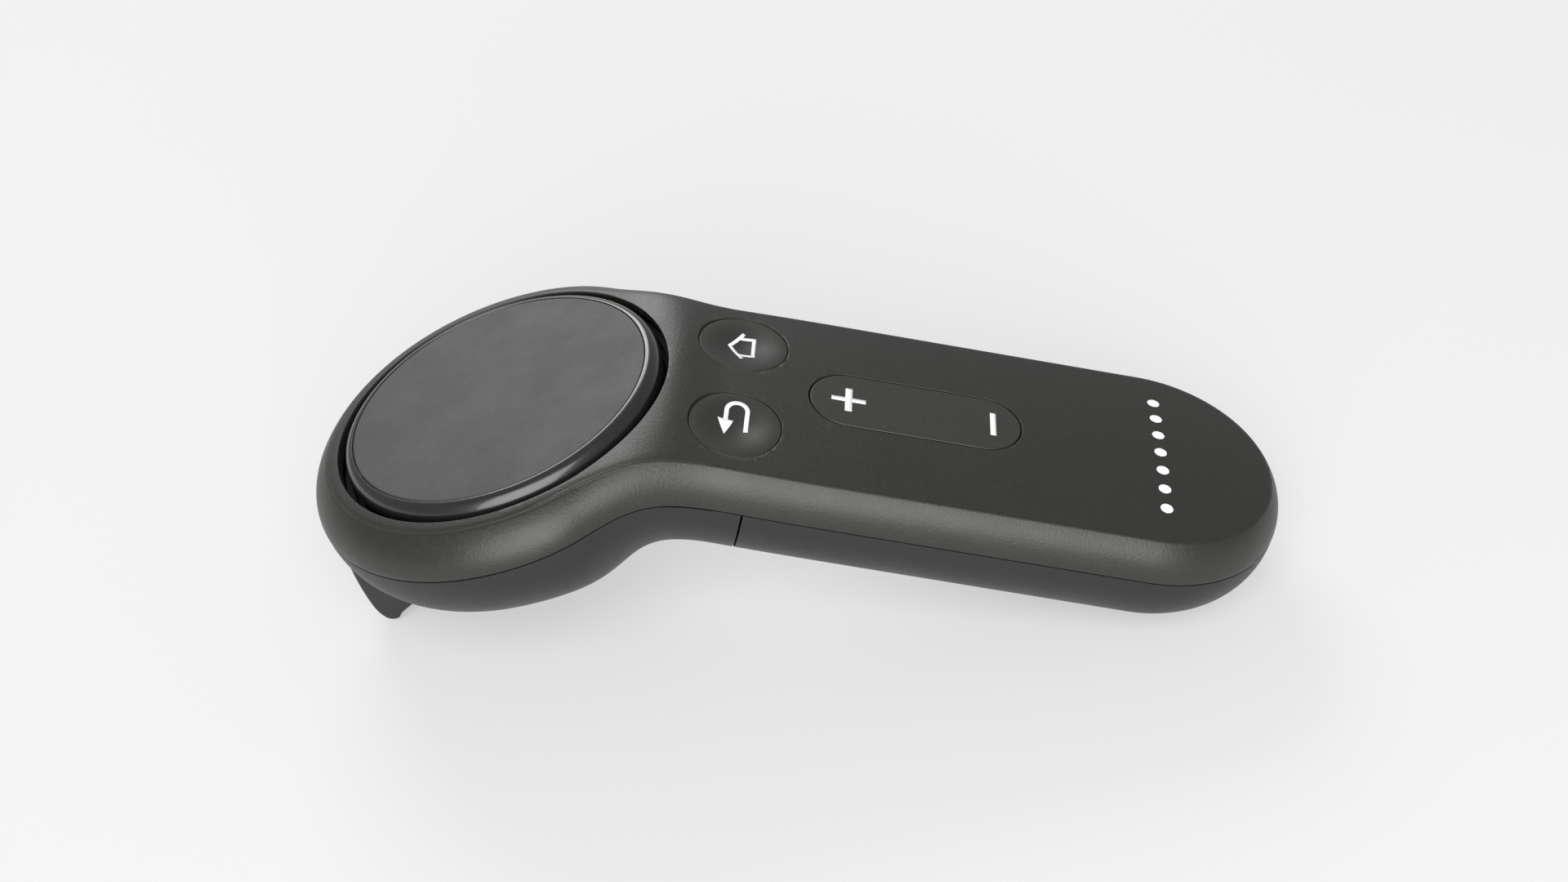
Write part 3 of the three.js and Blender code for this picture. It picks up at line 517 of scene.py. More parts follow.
def outline():
    half = body["handleHalfWidth"]
    headRadius = body["headRadius"]
    neckRadius = body["neckRadius"]
    neckY = half + neckRadius
    neckS = headS + math.sqrt((headRadius + neckRadius) ** 2 - neckY ** 2)
    neckAngle = math.atan2(neckY, neckS - headS)

    def steps(length):
        return max(3, round(length / body["pointSpacing"]))

    points = [edgePoint(endS, 0, half, a, 1) for a in between(0, math.pi / 2, steps(half * math.pi / 2))]
    straight = between(endS, neckS, steps(endS - neckS))
    points += [(s, half, 0, 1) for s in straight[1:-1]]
    hollow = math.pi / 2 - neckAngle
    points += [edgePoint(neckS, neckY, neckRadius, 1.5 * math.pi - a, -1)
               for a in between(0, hollow, steps(neckRadius * hollow))]
    around = math.pi - neckAngle
    points += [edgePoint(headS, 0, headRadius, a, 1)
               for a in between(neckAngle, math.pi, steps(headRadius * around))[1:]]
    points = [(s, y - waist(s), ns, ny) for s, y, ns, ny in points]
    mirrored = [(s, -y, ns, -ny) for s, y, ns, ny in reversed(points[1:-1])]
    return [(s, y, ns, ny, min(max(s, headS), endS)) for s, y, ns, ny in points + mirrored]


edge = outline()
print("outline points:", len(edge))


def flare(s):
    return shared(body["handleFlare"], body["headFlare"], s)


def sideDepth(s):
    return shared(body["handleSideDepth"], body["headSideDepth"], s)


def fullDepth(s):
    return shared(body["handleDepth"], body["headDepth"], s)


def edgeDrop(s):
    return shared(crownDrop(body["handleHalfWidth"]), body["headEdgeDrop"], s)


def ringAt(outward, depth):
    points = []
    for s, y, ns, ny, _ in edge:
        move = outward(s)
        points.append(place(s + ns * move, y + ny * move, depth(s)))
    return points


def drawnRing(outward, share, depth):
    points = []
    for s, y, ns, ny, core in edge:
        move = outward(s)
        points.append(place(mixed(core, s + ns * move, share), (y + ny * move) * share, depth(s)))
    return points


def brow(s, share):
    rise = smooth((s - foldEnd) / (foldStart - foldEnd))
    fall = 1 - smooth((s - headS - body["padHole"]) / body["browLength"])
    return body["browHeight"] * rise * fall * (1 - share * share)


def faceDepth(s, share):
    flat = body["padHole"] / body["headRadius"]
    onHandle = crownDrop(body["handleHalfWidth"] * share)
    onHead = body["headEdgeDrop"] * (max(share - flat, 0) / (1 - flat)) ** 1.4
    return shared(onHandle, onHead, s) - brow(s, share)


def faceRings(below, shares):
    rings = []
    for share in shares:
        rings.append(drawnRing(lambda s: 0, share, lambda s: below + faceDepth(s, share)))
    return rings


def sideRing(turn, inset):
    slope = body["edgeSlope"]
    out = (math.sin(turn) - math.sin(slope)) / (1 - math.sin(slope))
    down = (math.cos(slope) - math.cos(turn)) / math.cos(slope)
    return ringAt(lambda s: flare(s) * out - inset, lambda s: mixed(edgeDrop(s), sideDepth(s), down))


def undersideRing(turn, inset, drop=0.0):
    power = 2 / body["squareness"]
    across = math.cos(turn) ** power if turn < math.pi / 2 - 1e-6 else 0
    down = math.sin(turn) ** power

    def depth(s):
        top = sideDepth(s) + drop
        return top + (fullDepth(s) - inset - top) * down

    return drawnRing(lambda s: flare(s) - inset, across, depth)


def rimRing(inset, below):
    return ringAt(lambda s: flare(s) - inset, lambda s: sideDepth(s) + below)


def upperSkin():
    wall = body["wall"]
    slope = body["edgeSlope"]
    turns = [slope + 0.02, slope + 0.06, slope + 0.12, *between(slope + 0.2, math.pi / 2, 12)]
    crease = [
        ringAt(lambda s: -0.22, lambda s: edgeDrop(s) - 0.018),
        ringAt(lambda s: -0.1, lambda s: edgeDrop(s) - 0.004),
        ringAt(lambda s: -0.03, lambda s: edgeDrop(s) + 0.02),
        ringAt(lambda s: 0.02, lambda s: edgeDrop(s) + 0.07),
    ]
    foot = body["partingTop"]
    lipEdge = wall + 0.35
    rim = [
        rimRing(0.02, foot - 0.04), rimRing(0.08, foot), rimRing(lipEdge, foot), rimRing(lipEdge, 0.5),
        rimRing(lipEdge + 0.2, 1.3), rimRing(lipEdge + 0.5, 1.4), rimRing(lipEdge + 0.8, 1.3),
        rimRing(lipEdge + 0.8, -1.3),
    ]
    inner = [sideRing(turn, wall) for turn in (math.pi / 2 - 0.5, slope + 0.4)]
    ceiling = ringAt(lambda s: -wall, lambda s: edgeDrop(s) + wall)
    shares = [0, 0.12, 0.25, 0.38, 0.5, 0.62, 0.73, 0.83, 0.9, 0.938, 0.96, 0.975, 0.984]
    rings = [*faceRings(0, shares), *crease, *[sideRing(turn, 0) for turn in turns], *rim, *inner, ceiling]
    return loft("upper skin", [*rings, *reversed(faceRings(wall, [0, 0.3, 0.6, 0.85]))])


def lowerSkin():
    wall = body["wall"]
    start = body["partingTop"] + body["partingGap"]
    inner = [undersideRing(turn, wall) for turn in reversed(between(0.12, math.pi / 2, 12))]
    rim = [rimRing(wall, start + 0.4), rimRing(wall, start), rimRing(0.1, start), rimRing(0.02, start + 0.05)]
    outer = [undersideRing(turn, 0, start) for turn in between(0.05, math.pi / 2, 26)]
    return loft("lower skin", [*inner, *rim, *outer])


# hole cutters that follow the face, with a small rounded mouth


def holeTool(loop, mouth, depth):
    # loop(offset) gives the hole's outline on the face, moved outwards by an offset
    rings = []
    lift = 2.5
    rings.append([point + Vector((0, 0, lift)) for point in loop(mouth * 1.6)])
    for turn in between(0, math.pi / 2, 5):
        out = mouth * (1 - math.sin(turn))
        down = mouth * (1 - math.cos(turn))
        rings.append([point - Vector((0, 0, down)) for point in loop(out)])
    rings.append([point - Vector((0, 0, depth)) for point in loop(0)])
    return cappedLoft("hole", rings)


def cappedLoft(name, rings):
    count = len(rings[0])
    mesh = loft(name, rings)
    form = bmesh.new()
    form.from_mesh(mesh)
    bmesh.ops.holes_fill(form, edges=[e for e in form.edges if e.is_boundary], sides=count + 2)
    bmesh.ops.recalc_face_normals(form, faces=form.faces)
    form.to_mesh(mesh)
    form.free()
    return mesh


buttons = {
    "x": -5,
    "y": 7.25,
    "hole": 5.2,
    "clearance": 0.08,
    "dish": 0.68,
    "mouth": 0.07,
}


def buttonLoop(side):
    def loop(offset):
        radius = buttons["hole"] + offset
        points = []
        for a in anglesRound(120):
            x = buttons["x"] + radius * math.cos(a)
            y = side * buttons["y"] + radius * math.sin(a)
            points.append(Vector((x, y, -crownDrop(y))))
        return points
    return loop


rocker = {
    "centre": 15,
    "halfLength": 12.2,
    "halfWidth": 4.6,
    "clearance": 0.17,
    "mouth": 0.08,
    "plusX": 7.35,
    "minusX": 23.85,
}


def stadiumPoints(halfLength, halfWidth, count=160):
    reach = halfLength - halfWidth
    points = []
    for a in anglesRound(count):
        shift = reach if math.cos(a) >= 0 else -reach
        points.append((shift + halfWidth * math.cos(a), halfWidth * math.sin(a)))
    return points


def rockerLoop(offset):
    points = stadiumPoints(rocker["halfLength"] + offset, rocker["halfWidth"] + offset)
    return [Vector((rocker["centre"] + x, y, -crownDrop(y))) for x, y in points]


def faceHeightOverHead(reach, y):
    # how far the top face lies above the head's plane, at a place measured along that plane
    low = headS
    high = headS + 40
    toHead = headToHandle.inverted()
    for _ in range(40):
        middle = (low + high) / 2
        found = toHead @ place(middle, y, faceDepth(middle, min(abs(y) / body["headRadius"], 1)))
        if found.x < reach:
            low = middle
        else:
            high = middle
    return found.z


def padLoop(offset):
    radius = body["padHole"] + offset
    points = []
    for a in anglesRound(200):
        x = radius * math.cos(a)
        y = radius * math.sin(a)
        height = faceHeightOverHead(x, y) if x > 5 else 0
        points.append(Vector((x, y, min(height, 0))))
    return points


neckScrew = {
    "x": -7.9,
    "boreRadius": 1.85,
    "boreTop": -10.4,
    "postRadius": 2.7,
    "postFoot": -17,
    "postTop": -7.4,
}

triggerSlot = {
    "x": -39.5,
    "halfLength": 7.5,
    "halfWidth": 8.1,
    "corner": 1.2,
    "top": -24.6,
}

cover = {
    "tongueHalfWidth": 10.2,
    "tongueRoom": 0.07,
    "seamRoom": 0.24,
    "flat": 0.4,
    "grooves": 5,
    "grooveStart": 36,
    "groovePitch": 1.9,
    "grooveHalfWidth": 6.5,
    "arrowBase": 28.5,
    "arrowTip": 32.5,
    "arrowHalfWidth": 2.6,
    "arrowDepth": 0.25,
}

pastEnd, pastSide, wellBelow, wellAbove = 90, 40, -60, 20  # the cutting blocks reach out past the body
seamStart = body["seamX"] + 0.05


def makeShells():
    padTool = holeTool(padLoop, 0.22, 6)
    padTool.transform(headToHandle)
    holes = [
        padTool,
        holeTool(buttonLoop(1), buttons["mouth"], 4),
        holeTool(buttonLoop(-1), buttons["mouth"], 4),
        holeTool(rockerLoop, rocker["mouth"], 4),
    ]
    tongue = cover["tongueHalfWidth"] + cover["tongueRoom"]
    notch = blockMesh((endS, -tongue, -9), (80, tongue, -body["handleSideDepth"] + 0.42))
    upper = carved(upperSkin(), [*holes, notch])
    piece("upper_shell_skin", upper, "shell", "housing", ["upper_shell"])

    lower = lowerSkin()
    rear = blockMesh((seamStart, -pastSide, wellBelow), (pastEnd, pastSide, wellAbove))
    screwBore = rod("bore", neckScrew["boreRadius"], -30, neckScrew["boreTop"], 48)
    post = rod("post", neckScrew["postRadius"], neckScrew["postFoot"], neckScrew["postTop"], 48)
    for tool in (screwBore, post):
        tool.transform(Matrix.Translation((neckScrew["x"], 0, 0)))
    shell = carved(carved(lower, [post], "UNION"), [rear, slotTool(), screwBore])
    piece("lower_shell_skin", shell, "lower", "housing", ["lower_shell"])
    return lower


def slotTool():
    # the rounded mouth in the head's underside that the trigger stands in
    corner = triggerSlot["corner"]
    halfLength = triggerSlot["halfLength"] - corner
    halfWidth = triggerSlot["halfWidth"] - corner
    rings = []
    for height in (-50, triggerSlot["top"]):
        ring = []
        for a in anglesRound(48):
            x = triggerSlot["x"] + math.copysign(halfLength, math.cos(a)) + corner * math.cos(a)
            y = math.copysign(halfWidth, math.sin(a)) + corner * math.sin(a)
            ring.append(Vector((x, y, height)))
        rings.append(ring)
    return cappedLoft("slot", rings)


def makeCover(lower):
    seamEnd = seamStart + cover["seamRoom"]
    front = blockMesh((-pastEnd, -pastSide, wellBelow), (seamEnd, pastSide, wellAbove))
    stripZ = -body["handleDepth"] + cover["flat"]
    strip = blockMesh((-pastEnd, -pastSide, wellBelow), (pastEnd, pastSide, stripZ))
    grooves = [grooveTool(cover["grooveStart"] + i * cover["groovePitch"]) for i in range(cover["grooves"])]
    shell = carved(lower, [front, strip, *grooves, arrowTool()])
    piece("battery_cover_skin", shell, "lower", "battery_cover", ["battery_cover"])
    piece("cover_tongue", tongueMesh(), "lower", "battery_cover")


def grooveTool(x):
    # a finger groove across the underside, deepest in the middle
    rings = []
    half = cover["grooveHalfWidth"]
    for y in between(-half, half, 24):
        share = 1 - (abs(y) / half) ** 2
        radius = 0.12 + 0.42 * math.sqrt(max(share, 0))
        z = -body["handleDepth"] + cover["flat"] - 0.25 + crownRise(y)
        ring = [Vector((x + radius * math.cos(a), y, z + radius * math.sin(a))) for a in anglesRound(16)]
        rings.append(ring)
    return cappedLoft("groove", rings)


def crownRise(y):
    # how far the rounded underside has risen at a distance from its middle, less the flat strip
    half = body["handleHalfWidth"] + body["handleFlare"]
    power = body["squareness"]
    drop = (body["handleDepth"] - body["handleSideDepth"]) * (1 - (abs(y) / half) ** power) ** (1 / power)
    rise = body["handleDepth"] - body["handleSideDepth"] - drop
    return max(rise - cover["flat"], 0)


def arrowTool():
    # a shallow arrow that shows which way the cover slides
    z = -body["handleDepth"] + cover["flat"]
    half = cover["arrowHalfWidth"]
    corners = [(cover["arrowBase"], -half), (cover["arrowBase"], half), (cover["arrowTip"], 0)]
    rings = [[Vector((x, y, height)) for x, y in corners] for height in (z - 1, z + cover["arrowDepth"])]
    return cappedLoft("arrow", rings)


def tongueMesh():
    # the cover's raised end, which fills the notch in the upper shell's rim
    wall = body["wall"]
    reach = body["handleHalfWidth"] + body["handleFlare"]
    top = -body["handleSideDepth"] + 0.28
    foot = -body["handleSideDepth"] - body["partingTop"] - body["partingGap"] - 0.02
    limit = math.asin(cover["tongueHalfWidth"] / reach)
    rings = []
    for a in between(-limit, limit, 60):
        section = [(reach - 0.02, foot), (reach - 0.02, top - 0.06), (reach - 0.09, top)]
        section += [(reach - wall, top), (reach - wall, foot)]
        rings.append([Vector((endS + r * math.cos(a), r * math.sin(a), z)) for r, z in section])
    return cappedLoft("tongue", rings)


lowerWhole = makeShells()
makeCover(lowerWhole)
print("shells and cover made")


# touch pad

pad = {
    "radius": 17.7,
    "bulge": 1.3,
    "rollDepth": 1.75,
    "rise": 0.88,
    "skirt": 1.1,
    "rimDepth": 2.9,
}


def makePad():
    radius = pad["radius"]
    rise = pad["rise"]
    out = radius + pad["bulge"]
    inset = radius - 0.16
    surface = [(0, rise - 1.1), (inset, rise - 1.1), (inset, rise - 0.12)]
    for a in between(0, math.pi / 2, 5):
        surface.append((inset - 0.12 * (1 - math.cos(a)), rise - 0.12 + 0.12 * math.sin(a)))
    surface += [(radius * share, rise + 0.06 * (1 - share)) for share in (0.97, 0.9, 0.7, 0.4, 0.15, 0)]
    disc = turned("touch surface", surface, 160)
    piece("touch_surface", disc, "touch", "pad", ["pad_surface"], headToHandle)

    crest = radius - 0.1
    roll = pad["rollDepth"]
    skirt = radius + pad["skirt"]
    bead = [(crest, rise - 1.3), (crest, rise - 0.1), (crest + 0.03, rise - 0.03)]
    bead += [(mixed(crest + 0.06, out, math.sin(a)), mixed(rise - roll, rise, math.cos(a)))
             for a in between(0, math.pi * 0.72, 24)]
    bead += [(skirt, rise - roll - 1.3), (skirt, -pad["rimDepth"]), (skirt - 0.8, -pad["rimDepth"]),
             (skirt - 0.8, rise - 2.5), (radius - 2, rise - 2.5), (radius - 2, rise - 1.3)]
    rings = [circle(r, z, 200) for r, z in bead]
    piece("pad_rim_bead", loft("rim", rings, hoop=True), "rim", "pad", ["pad_rim"], headToHandle)


makePad()
print("touch pad made")


# thumb buttons with their dished faces and printed marks


def dishDepth(x, y):
    # depth of the dish at a place measured from the button's middle
    share = min(math.hypot(x, y) / (buttons["hole"] - 0.5), 1)
    return buttons["dish"] * (0.5 + 0.5 * math.cos(math.pi * share)) + 0.03


def buttonPoint(side, x, y, lift=0.0):
    # a place on the button's face, in the handle's frame
    across = side * buttons["y"] + y
    return Vector((buttons["x"] + x, across, lift - crownDrop(across) - dishDepth(x, y)))


def makeButton(name, side):
    radius = buttons["hole"] - buttons["clearance"]
    rings = []
    for r in (0.02, 0.6, 1.2, 1.8, 2.4, 3, 3.6, 4.1, 4.45, 4.7, radius - 0.2, radius - 0.12):
        rings.append([buttonPoint(side, r * math.cos(a), r * math.sin(a)) for a in anglesRound(120)])
    for out, down in ((0.05, 0.02), (0.015, 0.06), (0, 0.14), (0, 1.5)):
        r = radius - out
        rings.append([buttonPoint(side, r * math.cos(a), r * math.sin(a), -down) for a in anglesRound(120)])
    skin = cappedLoft(name, rings)
    piece(name + "_cap", skin, "button", name, [name])


def ribbon(points, width, closed=False):
    # a flat stroke along a path, as rows of two points across it
    count = len(points)
    rows = []
    for i, point in enumerate(points):
        before = points[(i - 1) % count] if closed or i > 0 else point
        after = points[(i + 1) % count] if closed or i < count - 1 else point
        first = Vector((point[0] - before[0], point[1] - before[1]))
        second = Vector((after[0] - point[0], after[1] - point[1]))
        first = first.normalized() if first.length else second.normalized()
        second = second.normalized() if second.length else first
        along = (first + second).normalized()
        reach = width / 2 / max(along.dot(second), 0.4)
        side = Vector((-along.y, along.x)) * reach
        rows.append(((point[0] + side.x, point[1] + side.y), (point[0] - side.x, point[1] - side.y)))
    return rows


def densePath(corners, closed=False, spacing=0.25):
    path = []
    pairs = list(zip(corners, corners[1:] + corners[:1]))
    for start, end in pairs if closed else pairs[:-1]:
        steps = max(1, round(math.dist(start, end) / spacing))
        path += [(mixed(start[0], end[0], t), mixed(start[1], end[1], t)) for t in between(0, 1, steps)[:-1]]
    return path if closed else path + [corners[-1]]


def strokeFaces(rows, closed, points, faces):
    base = len(points)
    for left, right in rows:
        points += [left, right]
    count = len(rows)
    for i in range(count if closed else count - 1):
        j = (i + 1) % count
        faces.append((base + 2 * i, base + 2 * i + 1, base + 2 * j + 1, base + 2 * j))


def printedMark(name, strokes, onto, on, filled=()):
    # ink laid on a face: strokes are (path, width, closed), filled are triangles, onto drapes a flat point
    points = []
    faces = []
    for path, width, closed in strokes:
        strokeFaces(ribbon(path, width, closed), closed, points, faces)
    for corners in filled:
        fillTriangle(corners, points, faces)
    mesh = meshOf(name, [onto(x, y) for x, y in points], faces)
    for polygon in mesh.polygons:
        if polygon.normal.z < 0:
            polygon.flip()
    mark = piece(name, mesh, "ink", on, sharp=60)
    thick = mark.modifiers.new("ink thickness", "SOLIDIFY")
    thick.thickness = 0.00003
    thick.offset = 1
    return mark


def fillTriangle(corners, points, faces, steps=8):
    a, b, c = [Vector(corner) for corner in corners]
    rows = []
    for i in range(steps + 1):
        t = i / steps
        left = a.lerp(c, t)
        right = b.lerp(c, t)
        row = [left.lerp(right, j / steps) for j in range(steps + 1)]
        rows.append(len(points))
        points += [(p.x, p.y) for p in row]
    for i in range(steps):
        for j in range(steps):
            faces.append((rows[i] + j, rows[i] + j + 1, rows[i + 1] + j + 1, rows[i + 1] + j))


marks = {
    "stroke": 0.43,
    "lift": 0.012,
    "roof": 2.45,
    "roofDepth": 1.5,
    "roofTip": -1.5,
    "wallY": 1.65,
    "wallEnd": 1.22,
    "bendRadius": 1.16,
    "bendStroke": 0.5,
    "legX": 0.1,
    "bendY": 2.4,
    "legEnd": -0.5,
    "headBase": 1.1,
    "headTip": -1.3,
    "headHalfWidth": 0.9,
}


def makeHouseMark():
    tip = marks["roofTip"]
    eave = tip + marks["roofDepth"]
    wallStart = tip + marks["roofDepth"] * marks["wallY"] / marks["roof"]
    roof = densePath([(eave, marks["roof"]), (tip, 0), (eave, -marks["roof"])])
    walls = densePath([(wallStart, marks["wallY"]), (marks["wallEnd"], marks["wallY"]),
                       (marks["wallEnd"], -marks["wallY"]), (wallStart, -marks["wallY"])])
    strokes = [(roof, marks["stroke"], False), (walls, marks["stroke"], False)]
    printedMark("home_mark", strokes, lambda x, y: buttonPoint(1, x, y, marks["lift"]), "home_button")


def makeReturnMark():
    radius = marks["bendRadius"]
    middle = marks["legX"]
    top = marks["bendY"]
    bend = [(middle + radius * math.cos(a), top + radius * math.sin(a)) for a in between(0, math.pi, 20)]
    legStart = middle + radius
    tipX = middle - radius
    base = marks["headBase"]
    half = marks["headHalfWidth"]
    path = densePath([(legStart, marks["legEnd"]), (legStart, top)])[:-1] + bend
    path += densePath([(tipX, top), (tipX, base)])[1:]
    head = [(tipX - half, base), (tipX + half, base), (tipX, marks["headTip"])]
    strokes = [(path, marks["bendStroke"], False)]

    def onto(x, y):
        return buttonPoint(-1, x, y, marks["lift"])

    printedMark("return_mark", strokes, onto, "back_button", [head])


makeButton("home_button", 1)
makeButton("back_button", -1)
makeHouseMark()
makeReturnMark()
print("buttons and marks made")


# volume rocker


def rockerPoint(x, y, lift=0.0):
    return Vector((rocker["centre"] + x, y, lift - crownDrop(y)))


def makeRocker():
    rings = []
    halfLength = rocker["halfLength"] - rocker["clearance"]
    halfWidth = rocker["halfWidth"] - rocker["clearance"]
    levels = [(inset, 0) for inset in (halfWidth - 0.02, 3.4, 2.4, 1.4, 0.7, 0.3, 0.14)]
    levels += [(0.06, 0.015), (0.015, 0.06), (0, 0.14), (0, 1.3)]
    for inset, down in levels:
        flatRing = stadiumPoints(halfLength - inset, halfWidth - inset)
        rings.append([rockerPoint(x, y, -down) for x, y in flatRing])
    rides = "volume_rocker"
    piece("volume_rocker_cap", cappedLoft("rocker", rings), "rocker", rides, [rides])

    def bar(length, width, alongX, centre):
        half = length / 2
        ends = [(centre - half, 0), (centre + half, 0)] if alongX else [(centre, -half), (centre, half)]
        return densePath(ends), width, False

    def onto(x, y):
        return rockerPoint(x, y, marks["lift"])

    def above(x, y):
        return rockerPoint(x, y, marks["lift"] * 1.4)

    plus = rocker["plusX"] - rocker["centre"]
    minus = rocker["minusX"] - rocker["centre"]
    printedMark("plus_bar_mark", [bar(3.9, 0.68, True, plus)], onto, rides)
    printedMark("plus_cross_mark", [bar(4.0, 0.8, False, plus)], above, rides)
    printedMark("minus_mark", [bar(3.9, 0.66, False, minus)], onto, rides)


makeRocker()
print("rocker made")


# plain printed row on the handle's end, in place of any name

dotRow = {
    "x": 43.2,
    "count": 7,
    "pitch": 3.1,
    "radius": 0.72,
}


def makeDotRow():
    for i in range(dotRow["count"]):
        middle = (i - (dotRow["count"] - 1) / 2) * dotRow["pitch"]
        rings = []
        for r in (0.01, dotRow["radius"] * 0.5, dotRow["radius"]):
            ring = []
            for a in anglesRound(28):
                y = middle + r * math.sin(a)
                ring.append(Vector((dotRow["x"] + r * math.cos(a), y, marks["lift"] * 2 - crownDrop(y))))
            rings.append(ring)
        piece(f"row_dot_{i + 1}", cappedLoft("dot", rings), "ink", "housing", sharp=60)


makeDotRow()
print("dot row made")


# trigger

trigger = {
    "halfWidth": 7.8,
    "edgeWidth": 1.5,
    "edgeRadius": 0.65,
    "core": (-40.5, -28.5),
    "pin": (-42.6, 0, -23.9),
    "pinBore": 0.83,
    "armPlace": (-36.3, 4.2, 0),
    "armRadius": 0.9,
    "armFoot": -26,
    "armTop": -22.65,
}


def triggerProfile():
    front = [(-46.4, -25.2), (-46.6, -27.6), (-45.7, -30.8), (-44.2, -33.9), (-42.5, -36.6)]
    tip = [(-41.3, -37.8), (-40.3, -38.2), (-39.3, -37.8)]
    rear = [(-38.9, -36.8), (-37.3, -34.5), (-35.2, -31.5), (-33.2, -28.6), (-32.8, -27)]
    root = [(-33.6, -24.4), (-36, -23.3), (-40, -22.6), (-43.5, -22.9)]
    return smoothLoop(front + tip + rear + root, 9)


def smoothLoop(corners, steps):
    # a closed curve through the points
    count = len(corners)
    points = []
    for i in range(count):
        a, b, c, d = [Vector(corners[(i + k) % count]) for k in (-1, 0, 1, 2)]
        for step in range(steps):
            t = step / steps
            square = (2 * a - 5 * b + 4 * c - d) * t ** 2
            cube = (3 * b - a - 3 * c + d) * t ** 3
            points.append(0.5 * ((2 * b) + (c - a) * t + square + cube))
    return points


def makeTrigger():
    profile = triggerProfile()
    core = Vector(trigger["core"])
    half = trigger["halfWidth"]
    rings = []
    levels = [math.sin(a) for a in between(-math.pi / 2, math.pi / 2, 40)]
    for level in levels:
        y = level * half
        t = max(0, abs(y) - half + trigger["edgeWidth"]) / trigger["edgeWidth"]
        inset = trigger["edgeRadius"] * (1 - math.sqrt(max(0, 1 - t * t)))
        ring = []
        for point in profile:
            reach = (point - core).length
            drawn = core.lerp(point, 1 - inset / reach)
            ring.append(Vector((drawn.x, y, drawn.y)))
        rings.append(ring)
    skin = cappedLoft("trigger skin", rings)
    bore = rod("bore", trigger["pinBore"], -20, 20, 32)
    bore.transform(Matrix.Translation(trigger["pin"]) @ Matrix.Rotation(math.pi / 2, 4, "X"))
    piece("trigger_skin", carved(skin, [bore]), "trigger", "trigger", ["trigger"], sharp=40)
    arm = rod("arm", trigger["armRadius"], trigger["armFoot"], trigger["armTop"], 32)
    arm.transform(Matrix.Translation(trigger["armPlace"]))
    piece("trigger_arm", arm, "trigger", "trigger")


makeTrigger()
print("trigger made")


# finishes on the pieces inside

insideFinishes = {
    "black": ["pad_carrier", "battery_tray"],
    # the pad frame takes the near-black finish that paints the shade in the gap around the pad
    "shadow": ["pad_frame"],
    "board": ["touch_board", "head_board", "main_board"],
    "chip": ["trigger_switch", "radio_chip", "motion_chip", "power_chip"],
    "sleeve": ["battery_left", "battery_right"],
    "brass": ["battery_contact_left", "battery_contact_right"],
    "steel": [
        "pad_spring", "pad_switch", "rocker_axle", "home_dome", "back_dome", "volume_up_dome",
        "volume_down_dome", "battery_spring_left", "battery_spring_right", "neck_screw",
        "tray_screw_front", "tray_screw_rear", "trigger_pin", "trigger_spring",
    ],
}

for finishName, nodeNames in insideFinishes.items():
    for nodeName in nodeNames:
        node = frame["nodes"][nodeName]
        node.data.materials.clear()
        node.data.materials.append(finishes[finishName])
        for slot in node.material_slots:
            slot.material = finishes[finishName]
print("inner pieces painted:", sum(len(names) for names in insideFinishes.values()))


# floor, lights and camera

studio = {
    "floorHalf": 3,
    "floorTone": 160,
    "floorDrop": -0.00012,
    "floorGlow": 0.405,
    "worldStrength": 0.4,
    "worldColour": (0.93, 0.95, 1.0),
}


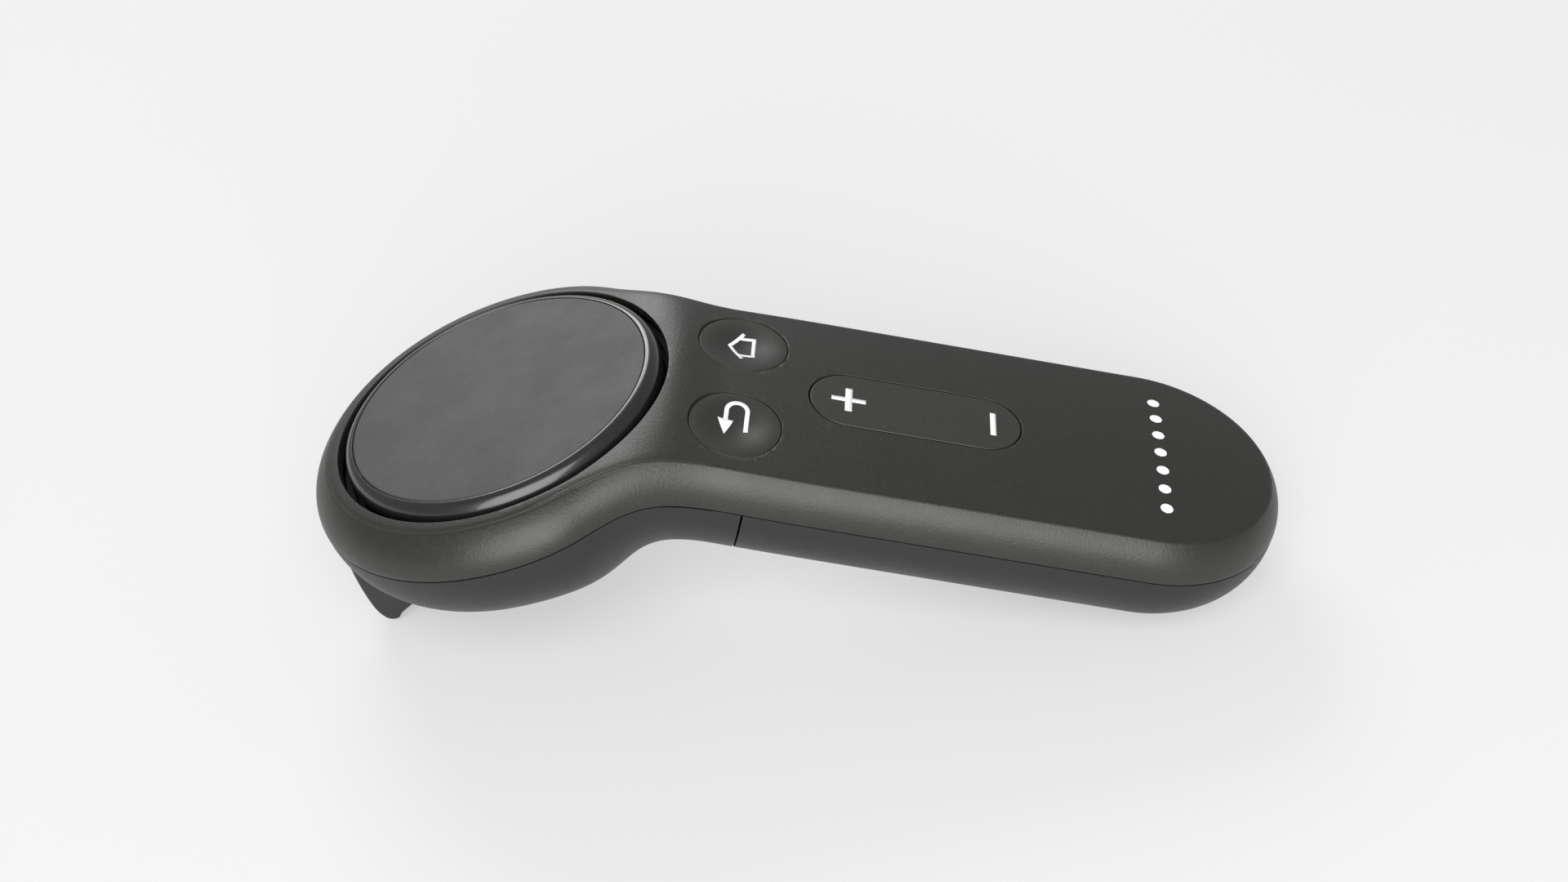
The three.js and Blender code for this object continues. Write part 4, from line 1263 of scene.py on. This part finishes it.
def makeFloor():
    paint = Paint("pale floor")
    base = paint.mix(paint.noise(6, 2), colour(studio["floorTone"] - 2), colour(studio["floorTone"] + 2))
    normal = paint.bump(paint.noise(400), 0.05, 0.0002)
    paint.set(Base_Color=base, Roughness=0.9, Normal=normal)
    paint.set(Emission_Color=(1, 1, 1, 1), Emission_Strength=studio["floorGlow"])
    form = bmesh.new()
    bmesh.ops.create_grid(form, x_segments=8, y_segments=8, size=studio["floorHalf"])
    mesh = bpy.data.meshes.new("floor")
    form.to_mesh(mesh)
    form.free()
    mesh.materials.append(paint.material)
    floor = bpy.data.objects.new("floor", mesh)
    floor.location.z = studio["floorDrop"]
    bpy.context.collection.objects.link(floor)


lamps = {
    # name: where it stands, its size, how bright its face is
    "near softbox": ((0.02, -0.76, 0.5), (0.9, 0.98), 5.5),
    "far softbox": ((-0.3, 0.74, 0.53), (0.54, 0.42), 5.8),
}


def makeLamp(name, position, size, radiance):
    light = bpy.data.lights.new(name, "AREA")
    light.shape = "RECTANGLE"
    light.size, light.size_y = size
    light.energy = radiance * math.pi * size[0] * size[1]
    lamp = bpy.data.objects.new(name, light)
    lamp.location = position
    lamp.rotation_euler = (-Vector(position)).to_track_quat("-Z", "Y").to_euler()
    bpy.context.collection.objects.link(lamp)


def makeLights():
    world = bpy.data.worlds.new("studio air")
    world.use_nodes = True
    sky = world.node_tree.nodes["Background"]
    sky.inputs["Color"].default_value = (*studio["worldColour"], 1)
    sky.inputs["Strength"].default_value = studio["worldStrength"]
    bpy.context.scene.world = world
    for name, (position, size, radiance) in lamps.items():
        makeLamp(name, position, size, radiance)


viewpoint = {
    # in the handle's frame, like the pieces
    "position": (-16.37, -191.16, 148.70),
    "right": (0.98381, 0.04967, 0.17219),
    "up": (-0.16437, 0.63294, 0.75655),
    "lens": 50,
    "sensorWidth": 36,
}


def makeCamera():
    optics = bpy.data.cameras.new("camera")
    optics.lens = viewpoint["lens"]
    optics.sensor_width = viewpoint["sensorWidth"]
    optics.clip_start = 0.01
    camera = bpy.data.objects.new("camera", optics)
    right = Vector(viewpoint["right"])
    up = Vector(viewpoint["up"])
    axes = Matrix((right, up, right.cross(up))).transposed().to_4x4()
    turnOnly = handleToRow.to_quaternion().to_matrix().to_4x4()
    shift = Matrix.Translation(handleToRow @ Vector(viewpoint["position"]))
    camera.matrix_world = shift @ turnOnly @ axes
    bpy.context.collection.objects.link(camera)
    bpy.context.scene.camera = camera


makeFloor()
makeLights()
makeCamera()
bpy.context.scene.view_settings.view_transform = "Standard"
print("studio made")
